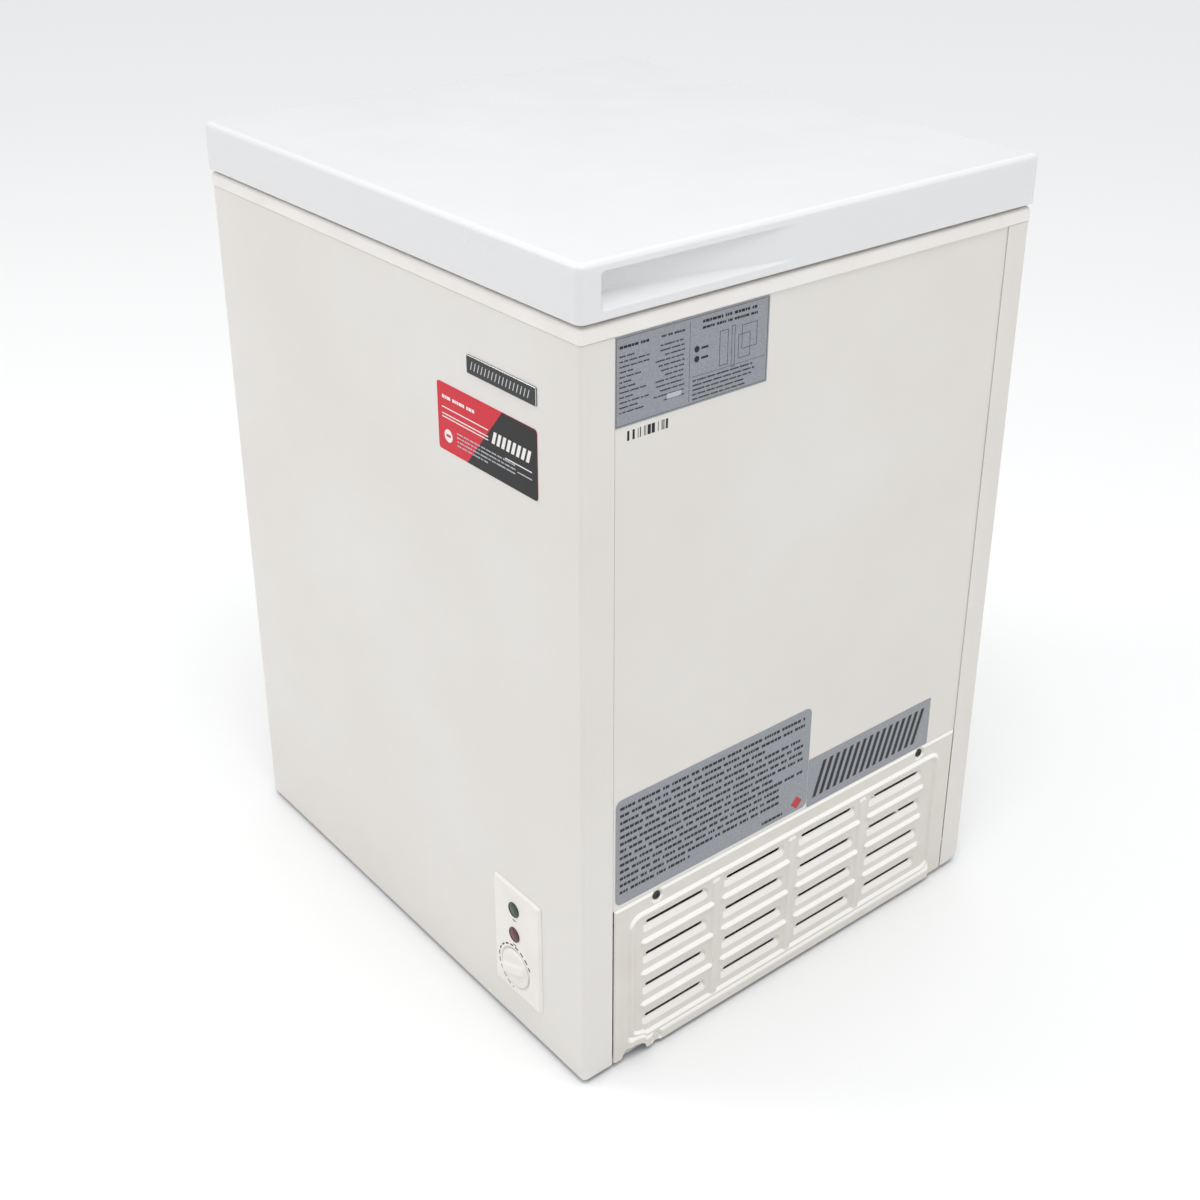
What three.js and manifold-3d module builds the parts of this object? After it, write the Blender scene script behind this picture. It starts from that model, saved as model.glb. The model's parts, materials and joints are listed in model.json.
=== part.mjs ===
// A compact chest freezer: an insulated cabinet with a machine bay low on its right side,
// a hinged lid, and the refrigeration circuit inside. Millimetres, +Z up, -Y is the front.
import * as THREE from 'three';
import { mergeVertices } from 'three/addons/utils/BufferGeometryUtils.js';
import { RoundedBoxGeometry } from 'three/addons/geometries/RoundedBoxGeometry.js';
import { ConvexGeometry } from 'three/addons/geometries/ConvexGeometry.js';
import Module from 'manifold-3d';

const wasm = await Module();
wasm.setup();

// ---------------------------------------------------------------- driving dimensions
// Cabinet
const cabinetWidth = 630;
const cabinetDepth = 565;
const cabinetTop = 782; // top edge of the sheet panels
const footHeight = 6; // how far the feet stand below the panels
const sheet = 1; // thickness of the steel panels
const gap = 0.3; // clearance between pieces that touch
const cornerRadius = 3; // vertical corners of the folded panels
const frontReturn = 36; // how far the front panel wraps round each side
const rearReturn = 31;
const rearCornerRadius = 18; // rounded lower corner of the back panel's returns
const tuck = 10; // how far a side panel reaches under the returns
const wall = 62; // cabinet outside to liner inside
const floorInsulation = 55;
const panHeight = 9; // base pan's plate above the panels' lower edge
const panFlange = 8;
// Machine bay, low on the right
const bayWidth = 185;
const bayTop = 200;
const stepInsulation = 55; // foam between the bay and the liner's step
// Liner
const linerSheet = 1;
const linerRadius = 20;
// Rim and lid
const rimHeight = 15;
const rimOverhang = 1;
const rimLedgeWidth = 14;
const rimLedgeDepth = 8;
const lidGap = 3; // visible gap over the rim
const lidHeight = 50;
const lidOverhang = 3;
const lidRadius = 5;
const lidSkin = 2;
const lidInnerDrop = 4.5; // skirt edge to the inner panel's border
const lidInnerSkin = 1.5;
const lidPlugDrop = 5; // raised middle of the inner panel
const gasketWidth = 12;
const gasketInset = 16;
// Finger grip in each side of the lid
const gripStart = 22;
const gripLength = 216;
const gripDepth = 14;
const gripFullDepth = 30; // length over which the grip keeps its full depth
const gripBottom = 7;
const gripTop = 9;
const gripSlope = 12; // rise of the grip's sloping floor
// Compressor cover
const coverTop = 197;
const coverSheet = 1.5;
const coverSeam = 2.5; // dark seam beside the front panel's return
const coverProud = 0.8; // cover's face outside the side panel's face
const coverBead = 1.5; // height of the raised border and ribs
const beadWidth = 7;
const fieldFront = 25; // louvre field's border from the cover's front edge
const fieldRear = 30;
const fieldTop = 24; // field's border below the cover's top edge
const fieldBottom = 25; // and above the floor
const louvreColumns = 4;
const louvreRows = 4;
const columnsRear = 10; // plain strip behind the last column
const columnBar = 32.5; // solid length between two slots of a row
const slotHeight = 6;
const lowestSlot = 45; // lowest row of slots above the floor
const topSlotDrop = 32.5; // top row of slots below the cover's top edge
const ribDrop = 23.5; // rib below its slot; the lowest slot has none
const ribLength = 90;
const ribHeight = 6;
const screwDrop = 6.5; // upper cover screws below the cover's top edge
const screwRise = 5.2; // lower cover screw above its bottom edge
const screwHead = 4.8;
const screwFront = 53.5; // and from its front edge
const screwRear = 58;
const screwShank = 2;
const screwReach = 4;
const archFront = 10; // leg's width at the cover's front corner
const archWidth = 30;
const archHeight = 11;
// Hinges
const hingeSpread = 380; // distance between the two hinges
const hingePlate = 2.5;
const hingePlateWidth = 60;
const hingePlateHeight = 78;
const knuckleRadius = 6;
const pinRadius = 3;
const runningGap = 0.1; // radial clearance of every turning fit
const pivotBehind = 11; // pivot behind the back panel
const pivotBelow = 8; // pivot below the lid's lower edge
const knuckleLength = 14;
const springWire = 1.2;
// Control panel on the front
const bezelFromRight = 66; // right edge from the cabinet's right side
const bezelWidth = 78;
const bezelBottom = 43.5;
const bezelHeight = 135;
const bezelProud = 3;
const bezelFlange = 3; // overlap of the bezel's border on the panel
const lampRadius = 8.5;
const lampSpacing = 31.5;
const lampDrop = 26.5; // green lamp below the bezel's top edge
const lampProud = 1.2;
const knobFromLeft = 35.5; // knob and lamps from the bezel's left edge
const knobDrop = 101.5; // knob below the bezel's top edge
const knobRadius = 21.5;
const knobDisc = 2.6;
const knobGrip = 5.4;
const dishDepth = 2;
const dishRadius = 24;
const shaftRadius = 3;
const knobRest = 22; // degrees the pointer stands above level
// Machine bay contents
const thermostatWidth = 40;
const thermostatDepth = 32;
const thermostatHeight = 36;
const compressorHalfX = 62;
const compressorHalfY = 80;
const compressorHeight = 140;
const compressorBack = 60; // centre behind the cabinet's middle
const grommetSpreadX = 100;
const grommetSpreadY = 170;
const bracketSheet = 3;
const drierRadius = 10;
const drierHeight = 90;
const lineRadius = 3.2;
const capillaryRadius = 1.2;
const harnessRadius = 3;
// Coils in the insulation
const evaporatorRadius = 3.5;
const evaporatorRings = 5;
const evaporatorLow = 320;
const evaporatorPitch = 90;
const riserOffset = 24;
const condenserRadius = 2.5;
const condenserRuns = 8;
const condenserLow = 260;
const condenserPitch = 66;
const condenserEdge = 30; // outer risers from the cabinet's sides
const condenserRiserPitch = 35; // inlet riser beside the outlet riser
// Feet, basket, drain, gland
const footInset = 58;
const footRadius = 18;
const basketLength = 200;
const basketDepth = 165;
const basketWire = 2.2;
const bailShare = 0.5; // bail's length as a share of the basket's
const basketTaper = 14;
const drainFromLeft = 120;
const drainRadius = 9;
const drainWall = 1.5;
const drainBend = 13;
const drainHeight = 38;
const drainPlugProud = 4;
const drainCapProud = 2.4;
const glandRadius = 8;
const glandHeight = 62;
const glandFromBay = 20; // cable gland from the bay's inner wall
// Plates and labels, from the cabinet's right side, its top or the machine bay's top
const badgeFromRight = 58.5;
const badgeLength = 101.5;
const badgeHeight = 17.5;
const badgeDrop = 52.5; // top edge below the panel's top edge
const badgeSheet = 1.2;
const stickerFromRight = 59;
const stickerLength = 151;
const stickerHeight = 67;
const stickerDrop = 91.5;
const ratingLength = 174;
const ratingHeight = 80.5;
const warningLength = 257.5;
const warningHeight = 121.5;
const warningInset = 3.7; // from the front panel's return
const warningRise = 5; // above the compressor cover
const lowerLength = 189;
const lowerHeight = 59.5;
const lowerRise = 1.5;
const labelBorder = 1;
const labelSheet = 0.25;
const labelGap = 0.15;

// ---------------------------------------------------------------- worked-out places
const halfWidth = cabinetWidth / 2;
const halfDepth = cabinetDepth / 2;
const cabinetBottom = footHeight;
const front = -halfDepth;
const rear = halfDepth;
const sideFace = halfWidth - sheet - gap; // outer face of a side panel
const foamHalfX = sideFace - sheet - gap;
const foamHalfY = halfDepth - sheet - gap;
const panTop = cabinetBottom + panHeight;
const linerHalfX = halfWidth - wall;
const linerHalfY = halfDepth - wall;
const linerFloor = panTop + floorInsulation + linerSheet;
const bayLeft = halfWidth - bayWidth;
const glandX = bayLeft + glandFromBay;
const stepLeft = bayLeft - stepInsulation;
const stepTop = bayTop + stepInsulation + linerSheet;
const rimTop = cabinetTop + rimHeight;
const lidBottom = rimTop + lidGap;
const lidTop = lidBottom + lidHeight;
const lidHalfX = halfWidth + lidOverhang;
const lidHalfY = halfDepth + lidOverhang;
const lidInnerZ = lidBottom + lidInnerDrop;
const pivotY = rear + pivotBehind;
const pivotZ = lidBottom - pivotBelow;
const coverFace = sideFace + coverProud;
const coverFront = front + frontReturn + coverSeam;
const coverRear = rear - rearReturn - coverProud;
const bezelLeft = halfWidth - bezelFromRight - bezelWidth;
const knobX = bezelLeft + knobFromLeft;
const bezelTop = bezelBottom + bezelHeight;
const knobZ = bezelTop - knobDrop;
const compressorX = (bayLeft + foamHalfX) / 2;
const evaporatorX = linerHalfX + linerSheet + gap + evaporatorRadius;
const evaporatorY = linerHalfY + linerSheet + gap + evaporatorRadius;
const evaporatorBend = 3 * evaporatorRadius;
const evaporatorTop = evaporatorLow + (evaporatorRings - 1) * evaporatorPitch;
const condenserY = foamHalfY - gap - condenserRadius;
const condenserOutlet = halfWidth - condenserEdge;
const condenserInlet = condenserOutlet - condenserRiserPitch;
const condenserFar = -condenserOutlet;
const condenserBend = 4 * condenserRadius;
const condenserTop = condenserLow + (condenserRuns - 1) * condenserPitch;
const coilEndZ = bayTop - 8; // where the bay's own lines meet the coils

const coverScrews = [
  [coverFront + screwFront, coverTop - screwDrop],
  [coverRear - screwRear, coverTop - screwDrop],
  [coverFront + screwFront, cabinetBottom + screwRise],
];

// ---------------------------------------------------------------- helpers
function solidOf(geometry) {
  const bare = geometry.index ? geometry.toNonIndexed() : geometry.clone();
  bare.deleteAttribute('normal');
  bare.deleteAttribute('uv');
  const merged = mergeVertices(bare, 1e-4);
  const mesh = new wasm.Mesh({
    numProp: 3,
    vertProperties: new Float32Array(merged.attributes.position.array),
    triVerts: new Uint32Array(merged.index.array),
  });
  return new wasm.Manifold(mesh);
}

function geometryOf(solid) {
  const mesh = solid.getMesh();
  const geometry = new THREE.BufferGeometry();
  geometry.setAttribute('position', new THREE.BufferAttribute(mesh.vertProperties, 3));
  geometry.setIndex(new THREE.BufferAttribute(mesh.triVerts, 1));
  return geometry;
}

function box(x0, x1, y0, y1, z0, z1) {
  const geometry = new THREE.BoxGeometry(x1 - x0, y1 - y0, z1 - z0);
  return geometry.translate((x0 + x1) / 2, (y0 + y1) / 2, (z0 + z1) / 2);
}

function block(...limits) {
  return solidOf(box(...limits));
}

// A box centred on the Z axis, from -halfX to halfX and -halfY to halfY
function centredBlock(halfX, halfY, z0, z1) {
  return block(-halfX, halfX, -halfY, halfY, z0, z1);
}

function cylinderZ(radius, x, y, z0, z1, sides = 24) {
  const geometry = new THREE.CylinderGeometry(radius, radius, z1 - z0, sides);
  return geometry.rotateX(Math.PI / 2).translate(x, y, (z0 + z1) / 2);
}

function cylinderY(radius, x, z, y0, y1, sides = 24) {
  const geometry = new THREE.CylinderGeometry(radius, radius, y1 - y0, sides);
  return geometry.translate(x, (y0 + y1) / 2, z);
}

function cylinderX(radius, y, z, x0, x1, sides = 24) {
  const geometry = new THREE.CylinderGeometry(radius, radius, x1 - x0, sides);
  return geometry.rotateZ(Math.PI / 2).translate((x0 + x1) / 2, y, z);
}

// A turned piece whose axis is Z; the profile is a list of [radius, height]
function turned(profile, sides = 24) {
  const points = profile.map(([radius, height]) => new THREE.Vector2(radius, height));
  return new THREE.LatheGeometry(points, sides).rotateX(Math.PI / 2);
}

function roundedOutline(halfX, halfY, radius) {
  const shape = new THREE.Shape();
  shape.moveTo(halfX, -halfY + radius);
  shape.lineTo(halfX, halfY - radius);
  shape.absarc(halfX - radius, halfY - radius, radius, 0, Math.PI / 2);
  shape.lineTo(-halfX + radius, halfY);
  shape.absarc(-halfX + radius, halfY - radius, radius, Math.PI / 2, Math.PI);
  shape.lineTo(-halfX, -halfY + radius);
  shape.absarc(-halfX + radius, -halfY + radius, radius, Math.PI, Math.PI * 1.5);
  shape.lineTo(halfX - radius, -halfY);
  shape.absarc(halfX - radius, -halfY + radius, radius, Math.PI * 1.5, Math.PI * 2);
  return shape;
}

function extrudeZ(shape, z0, z1, curveSegments = 4) {
  const settings = { depth: z1 - z0, bevelEnabled: false, curveSegments };
  return new THREE.ExtrudeGeometry(shape, settings).translate(0, 0, z0);
}

function roundedSlab(halfX, halfY, radius, z0, z1, curveSegments = 4) {
  return solidOf(extrudeZ(roundedOutline(halfX, halfY, radius), z0, z1, curveSegments));
}

function polygon(points) {
  return new THREE.Shape(points.map(([u, v]) => new THREE.Vector2(u, v)));
}

// Extrudes an outline drawn in X and Z along Y
function extrudeY(points, y0, y1) {
  const geometry = extrudeZ(polygon(points), 0, y1 - y0);
  return geometry.rotateX(Math.PI / 2).translate(0, y1, 0);
}

// Extrudes an outline drawn in Y and Z along X
function extrudeX(points, x0, x1) {
  const geometry = extrudeZ(polygon(points), 0, x1 - x0);
  return geometry.rotateX(Math.PI / 2).rotateZ(Math.PI / 2).translate(x0, 0, 0);
}

// A route through corner points, each corner rounded by an arc of the bend radius
function bentRoute(corners, bendRadius, stepsPerBend = 3) {
  const points = [corners[0].clone()];
  for (let i = 1; i < corners.length - 1; i += 1) {
    const into = corners[i].clone().sub(corners[i - 1]).normalize();
    const away = corners[i + 1].clone().sub(corners[i]).normalize();
    const turn = into.angleTo(away);
    const reach = bendRadius * Math.tan(turn / 2);
    const start = corners[i].clone().addScaledVector(into, -reach);
    const inward = away.clone().addScaledVector(into, -into.dot(away)).normalize();
    const centre = start.clone().addScaledVector(inward, bendRadius);
    for (let step = 0; step <= stepsPerBend; step += 1) {
      const angle = (turn * step) / stepsPerBend;
      const point = centre.clone().addScaledVector(into, bendRadius * Math.sin(angle));
      points.push(point.addScaledVector(inward, -bendRadius * Math.cos(angle)));
    }
  }
  points.push(corners[corners.length - 1].clone());
  return points;
}

// A curve that visits its points one by one, so that an extrusion steps from bend to bend
class PointRoute extends THREE.Curve {
  constructor(points) {
    super();
    this.points = points;
  }

  getPoint(t, target = new THREE.Vector3()) {
    const last = this.points.length - 1;
    const place = Math.min(Math.max(t * last, 0), last);
    const index = Math.min(Math.floor(place + 1e-9), last - 1);
    return target.lerpVectors(this.points[index], this.points[index + 1], place - index);
  }

  getPointAt(u, target) {
    return this.getPoint(u, target);
  }

  getTangentAt(u, target = new THREE.Vector3()) {
    const last = this.points.length - 1;
    const index = Math.round(u * last);
    const before = this.points[Math.max(index - 1, 0)];
    const here = this.points[index];
    const after = this.points[Math.min(index + 1, last)];
    const into = here.clone().sub(before).normalize();
    const away = after.clone().sub(here).normalize();
    return target.copy(into.add(away)).normalize();
  }
}

function ring(radius, sides) {
  const points = [];
  for (let i = 0; i < sides; i += 1) {
    const angle = (2 * Math.PI * i) / sides;
    points.push([radius * Math.cos(angle), radius * Math.sin(angle)]);
  }
  return points;
}

function tube(points, radius, sides = 6, bore = 0) {
  const section = polygon(ring(radius, sides));
  if (bore > 0) {
    section.holes.push(polygon(ring(bore, sides)));
  }
  const settings = { steps: points.length - 1, extrudePath: new PointRoute(points) };
  return new THREE.ExtrudeGeometry(section, settings);
}

function at(x, y, z) {
  return new THREE.Vector3(x, y, z);
}

const freezer = new THREE.Group();

function addPiece(name, shape, finish) {
  const solid = shape.isBufferGeometry ? solidOf(shape) : shape;
  const mesh = new THREE.Mesh(geometryOf(solid), new THREE.MeshStandardMaterial(finish));
  mesh.name = name;
  freezer.add(mesh);
}

const whitePaint = { color: 0xe3e1dd, roughness: 0.38, metalness: 0 };
const whitePlastic = { color: 0xe8e5e1, roughness: 0.35, metalness: 0 };
const galvanised = { color: 0xa7abae, roughness: 0.45, metalness: 0.9 };
const blackEnamel = { color: 0x141416, roughness: 0.35, metalness: 0 };
const copper = { color: 0xb8693f, roughness: 0.3, metalness: 1 };
const zincSteel = { color: 0xb9bcc0, roughness: 0.35, metalness: 1 };
const blackRubber = { color: 0x1c1c1d, roughness: 0.8, metalness: 0 };
const foamFinish = { color: 0xe0cf9c, roughness: 0.9, metalness: 0 };
const labelFoil = { color: 0x8e9198, roughness: 0.4, metalness: 0.3 };

// ---------------------------------------------------------------- cabinet panels
// A sheet folded into a channel: a flat face with a return at each end. It opens towards +Y.
function foldedPanel(returnDepth) {
  const inside = halfWidth - sheet;
  const outer = cornerRadius;
  const inner = cornerRadius - sheet;
  const back = front + returnDepth;
  const shape = new THREE.Shape();
  shape.moveTo(halfWidth, back);
  shape.lineTo(inside, back);
  shape.lineTo(inside, front + outer);
  shape.absarc(halfWidth - outer, front + outer, inner, 0, -Math.PI / 2, true);
  shape.lineTo(-halfWidth + outer, front + sheet);
  shape.absarc(-halfWidth + outer, front + outer, inner, -Math.PI / 2, -Math.PI, true);
  shape.lineTo(-inside, back);
  shape.lineTo(-halfWidth, back);
  shape.lineTo(-halfWidth, front + outer);
  shape.absarc(-halfWidth + outer, front + outer, outer, Math.PI, Math.PI * 1.5);
  shape.lineTo(halfWidth - outer, front);
  shape.absarc(halfWidth - outer, front + outer, outer, Math.PI * 1.5, Math.PI * 2);
  return extrudeZ(shape, cabinetBottom, cabinetTop, 4);
}

function addFrontPanel() {
  const opening = block(
    bezelLeft + bezelFlange,
    bezelLeft + bezelWidth - bezelFlange,
    front - sheet,
    front + 2 * sheet,
    bezelBottom + bezelFlange,
    bezelTop - bezelFlange,
  );
  addPiece('front_panel', solidOf(foldedPanel(frontReturn)).subtract(opening), whitePaint);
}

// The lower rear corner of the back panel is rounded, seen from the side
function addBackPanel() {
  const radius = rearCornerRadius;
  const corner = block(
    -halfWidth - 1,
    halfWidth + 1,
    rear - radius,
    rear + 1,
    cabinetBottom - 1,
    cabinetBottom + radius,
  );
  const round = cylinderX(
    radius,
    rear - radius,
    cabinetBottom + radius,
    -halfWidth - 2,
    halfWidth + 2,
    32,
  );
  const cut = corner.subtract(solidOf(round));
  const glandHole = solidOf(cylinderY(glandRadius, glandX, glandHeight, rear - 3, rear + 3));
  const panel = solidOf(foldedPanel(rearReturn).rotateZ(Math.PI));
  addPiece('back_panel', panel.subtract(cut).subtract(glandHole), whitePaint);
}

function addSidePanels() {
  const y0 = front + frontReturn - tuck;
  const y1 = rear - rearReturn + tuck;
  addPiece(
    'right_side_panel',
    box(sideFace - sheet, sideFace, y0, y1, coverTop + gap, cabinetTop),
    whitePaint,
  );
  const left = block(-sideFace, -sideFace + sheet, y0, y1, cabinetBottom, cabinetTop);
  const drainHole = solidOf(
    cylinderX(drainRadius + gap, 0, drainHeight, -sideFace - 2, -sideFace + 4),
  );
  addPiece('left_side_panel', left.subtract(drainHole), whitePaint);
}

function addBasePan() {
  const flangeBottom = panTop - sheet - panFlange + gap;
  const outer = centredBlock(foamHalfX, foamHalfY, flangeBottom, panTop);
  const inner = centredBlock(
    foamHalfX - sheet,
    foamHalfY - sheet,
    flangeBottom - 1,
    panTop - sheet,
  );
  const [y, z] = coverScrews[2];
  const screwHole = solidOf(
    cylinderX(screwShank + gap, y, z, foamHalfX - 2 * sheet, halfWidth, 12),
  );
  addPiece('base_pan', outer.subtract(inner).subtract(screwHole), galvanised);
}

// A folded sheet that closes the machine bay off from the foam, notched for the coil ends
function addBayDivider() {
  const profile = [
    [bayLeft, panTop + gap],
    [bayLeft + sheet, panTop + gap],
    [bayLeft + sheet, bayTop],
    [foamHalfX, bayTop],
    [foamHalfX, bayTop + sheet],
    [bayLeft, bayTop + sheet],
  ];
  const divider = solidOf(extrudeY(profile, -foamHalfY, foamHalfY));
  const evaporatorNotch = evaporatorChannel(bayTop - 1, bayTop + 5);
  const condenserNotch = block(
    condenserInlet - condenserRadius - gap,
    condenserOutlet + condenserRadius + gap,
    condenserY - condenserRadius - gap,
    foamHalfY + 1,
    bayTop - 1,
    bayTop + 5,
  );
  addPiece('bay_divider', divider.subtract(evaporatorNotch).subtract(condenserNotch), galvanised);
}

// Upright channel beside the liner's right wall, for the evaporator's risers
function evaporatorChannel(z0, z1) {
  const reach = evaporatorRadius + gap;
  const half = riserOffset + evaporatorBend + reach;
  return block(linerHalfX + linerSheet, evaporatorX + reach, -half, half, z0, z1);
}

// ---------------------------------------------------------------- liner and foam
// The tub's outline with a step over the machine bay, grown by the given offset
function tubSolid(offset, bottomOffset, top) {
  const tub = roundedSlab(
    linerHalfX + offset,
    linerHalfY + offset,
    linerRadius + offset,
    linerFloor - bottomOffset,
    top,
  );
  const step = block(
    stepLeft + offset,
    halfWidth,
    -halfDepth,
    halfDepth,
    0,
    stepTop - bottomOffset,
  );
  return tub.subtract(step);
}

function addInnerLiner() {
  const outer = tubSolid(linerSheet, linerSheet, cabinetTop);
  const inner = tubSolid(0, 0, cabinetTop + 1);
  const drainHole = solidOf(
    cylinderZ(drainRadius - drainWall, drainX, 0, linerFloor - 5, linerFloor + 5),
  );
  addPiece('inner_liner', outer.subtract(inner).subtract(drainHole), {
    color: 0xeceef0,
    roughness: 0.3,
    metalness: 0,
  });
}

function addCabinetFoam() {
  let foam = centredBlock(foamHalfX, foamHalfY, panTop + gap, cabinetTop);
  foam = foam.subtract(tubSolid(linerSheet + gap, linerSheet + gap, cabinetTop + 1));
  foam = foam.subtract(
    block(bayLeft - gap, halfWidth, -halfDepth, halfDepth, 0, bayTop + sheet + gap),
  );
  const evaporatorReach = evaporatorRadius + gap;
  for (let i = 0; i < evaporatorRings; i += 1) {
    const level = evaporatorLow + i * evaporatorPitch;
    foam = foam.subtract(
      centredBlock(
        evaporatorX + evaporatorReach,
        evaporatorY + evaporatorReach,
        level - evaporatorReach,
        level + evaporatorReach,
      ),
    );
  }
  foam = foam.subtract(evaporatorChannel(bayTop, evaporatorTop));
  const condenserReach = condenserRadius + gap;
  const inside = condenserY - condenserReach;
  for (let i = 0; i < condenserRuns; i += 1) {
    const level = condenserLow + i * condenserPitch;
    foam = foam.subtract(
      block(
        condenserFar - condenserReach,
        condenserOutlet + condenserReach,
        inside,
        halfDepth,
        level - condenserReach,
        level + condenserReach,
      ),
    );
  }
  const risers = [
    [condenserFar, condenserLow],
    [condenserInlet, bayTop],
    [condenserOutlet, bayTop],
  ];
  for (const [x, z0] of risers) {
    const x0 = x - condenserBend - condenserReach;
    const x1 = x + condenserBend + condenserReach;
    foam = foam.subtract(block(x0, x1, inside, halfDepth, z0, condenserTop));
  }
  const drainReach = drainRadius + gap;
  foam = foam.subtract(
    block(
      drainX - drainBend - drainReach,
      drainX,
      -drainReach,
      drainReach,
      drainHeight - drainReach,
      drainHeight + drainBend,
    ),
  );
  foam = foam.subtract(
    block(
      drainX - drainReach,
      drainX + drainReach,
      -drainReach,
      drainReach,
      drainHeight - drainReach,
      linerFloor,
    ),
  );
  foam = foam.subtract(
    block(
      -halfWidth,
      drainX,
      -drainReach,
      drainReach,
      drainHeight - drainReach,
      drainHeight + drainReach,
    ),
  );
  addPiece('cabinet_foam', foam, foamFinish);
}

// ---------------------------------------------------------------- refrigeration circuit
// Rings round the liner joined by risers on its right wall; both ends drop into the bay
function addEvaporator() {
  const x = evaporatorX;
  const y = evaporatorY;
  const corners = [at(x, -riserOffset, coilEndZ)];
  for (let i = 0; i < evaporatorRings; i += 1) {
    const z = evaporatorLow + i * evaporatorPitch;
    const way = i % 2 === 0 ? 1 : -1;
    corners.push(at(x, -way * riserOffset, z));
    corners.push(at(x, -way * y, z));
    corners.push(at(-x, -way * y, z));
    corners.push(at(-x, way * y, z));
    corners.push(at(x, way * y, z));
    corners.push(at(x, way * riserOffset, z));
  }
  corners.pop();
  corners.push(at(x, 0, evaporatorTop));
  corners.push(at(x, 0, coilEndZ));
  const route = bentRoute(corners, evaporatorBend, 2);
  addPiece('evaporator_coil', tube(route, evaporatorRadius), copper);
}

// A serpentine behind the back panel; its outlet runs down to the filter drier
function addCondenser() {
  const y = condenserY;
  const corners = [at(condenserInlet, y, coilEndZ)];
  for (let i = 0; i < condenserRuns; i += 1) {
    const z = condenserLow + i * condenserPitch;
    const outward = i % 2 === 0;
    const last = i === condenserRuns - 1;
    const nearX = last ? condenserOutlet : condenserInlet;
    corners.push(at(outward ? nearX : condenserFar, y, z));
    corners.push(at(outward ? condenserFar : nearX, y, z));
  }
  corners.push(at(condenserOutlet, y, drierTop + 40));
  corners.push(at(drierX, y - 60, drierTop + 40));
  corners.push(at(drierX, y - 60, drierTop + gap));
  const route = bentRoute(corners, condenserBend, 2);
  addPiece('condenser_coil', tube(route, condenserRadius), copper);
}

const drierX = bayLeft + 14;
const drierY = condenserY - 60;
const drierBottom = panTop + 25;
const drierTop = drierBottom + drierHeight;
const bracketZ = panTop + 10; // underside of the compressor's bracket
const compressorBottom = bracketZ + bracketSheet + gap;
const compressorTop = compressorBottom + compressorHeight;

function addCompressor() {
  const half = compressorHalfY;
  const seam = compressorHeight * 0.55;
  const profile = [
    [0, 0],
    [half * 0.72, 0],
    [half * 0.93, 14],
    [half * 0.97, seam - 3],
    [half, seam - 3],
    [half, seam + 3],
    [half * 0.97, seam + 3],
    [half * 0.94, seam + 25],
    [half * 0.82, seam + 44],
    [half * 0.55, compressorHeight - 5],
    [0, compressorHeight],
  ];
  const shell = turned(profile, 24);
  shell.scale(compressorHalfX / compressorHalfY, 1, 1);
  shell.translate(compressorX, compressorBack, compressorBottom);
  addPiece('compressor', shell, blackEnamel);
}

function addCompressorMounts() {
  let bracket = block(
    compressorX - grommetSpreadX / 2 - 18,
    compressorX + grommetSpreadX / 2 + 18,
    compressorBack - grommetSpreadY / 2 - 18,
    compressorBack + grommetSpreadY / 2 + 18,
    bracketZ,
    bracketZ + bracketSheet,
  );
  const neck = 6.5;
  let number = 1;
  for (const sideX of [-1, 1]) {
    for (const sideY of [-1, 1]) {
      const x = compressorX + (sideX * grommetSpreadX) / 2;
      const y = compressorBack + (sideY * grommetSpreadY) / 2;
      bracket = bracket.subtract(
        solidOf(cylinderZ(neck + gap, x, y, bracketZ - 1, bracketZ + bracketSheet + 1, 12)),
      );
      const profile = [
        [0, panTop + gap],
        [12, panTop + gap],
        [12, bracketZ - gap],
        [neck, bracketZ - gap],
        [neck, bracketZ + bracketSheet + gap],
        [9, bracketZ + bracketSheet + gap],
        [8, bracketZ + bracketSheet + 6],
        [0, bracketZ + bracketSheet + 6],
      ];
      addPiece(
        `compressor_grommet_${number}`,
        turned(profile, 12).translate(x, y, 0),
        blackRubber,
      );
      number += 1;
    }
  }
  addPiece('compressor_bracket', bracket, galvanised);
}

const relayFront = compressorBack - compressorHalfY - 27;
const relayBack = compressorBack - compressorHalfY - 1;

function addRelayBox() {
  const height = 56;
  const geometry = new RoundedBoxGeometry(46, relayBack - relayFront, height, 2, 3);
  geometry.translate(compressorX, (relayFront + relayBack) / 2, compressorBottom + 70);
  addPiece('start_relay_box', geometry, { color: 0x2a2b2d, roughness: 0.5, metalness: 0 });
}

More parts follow.
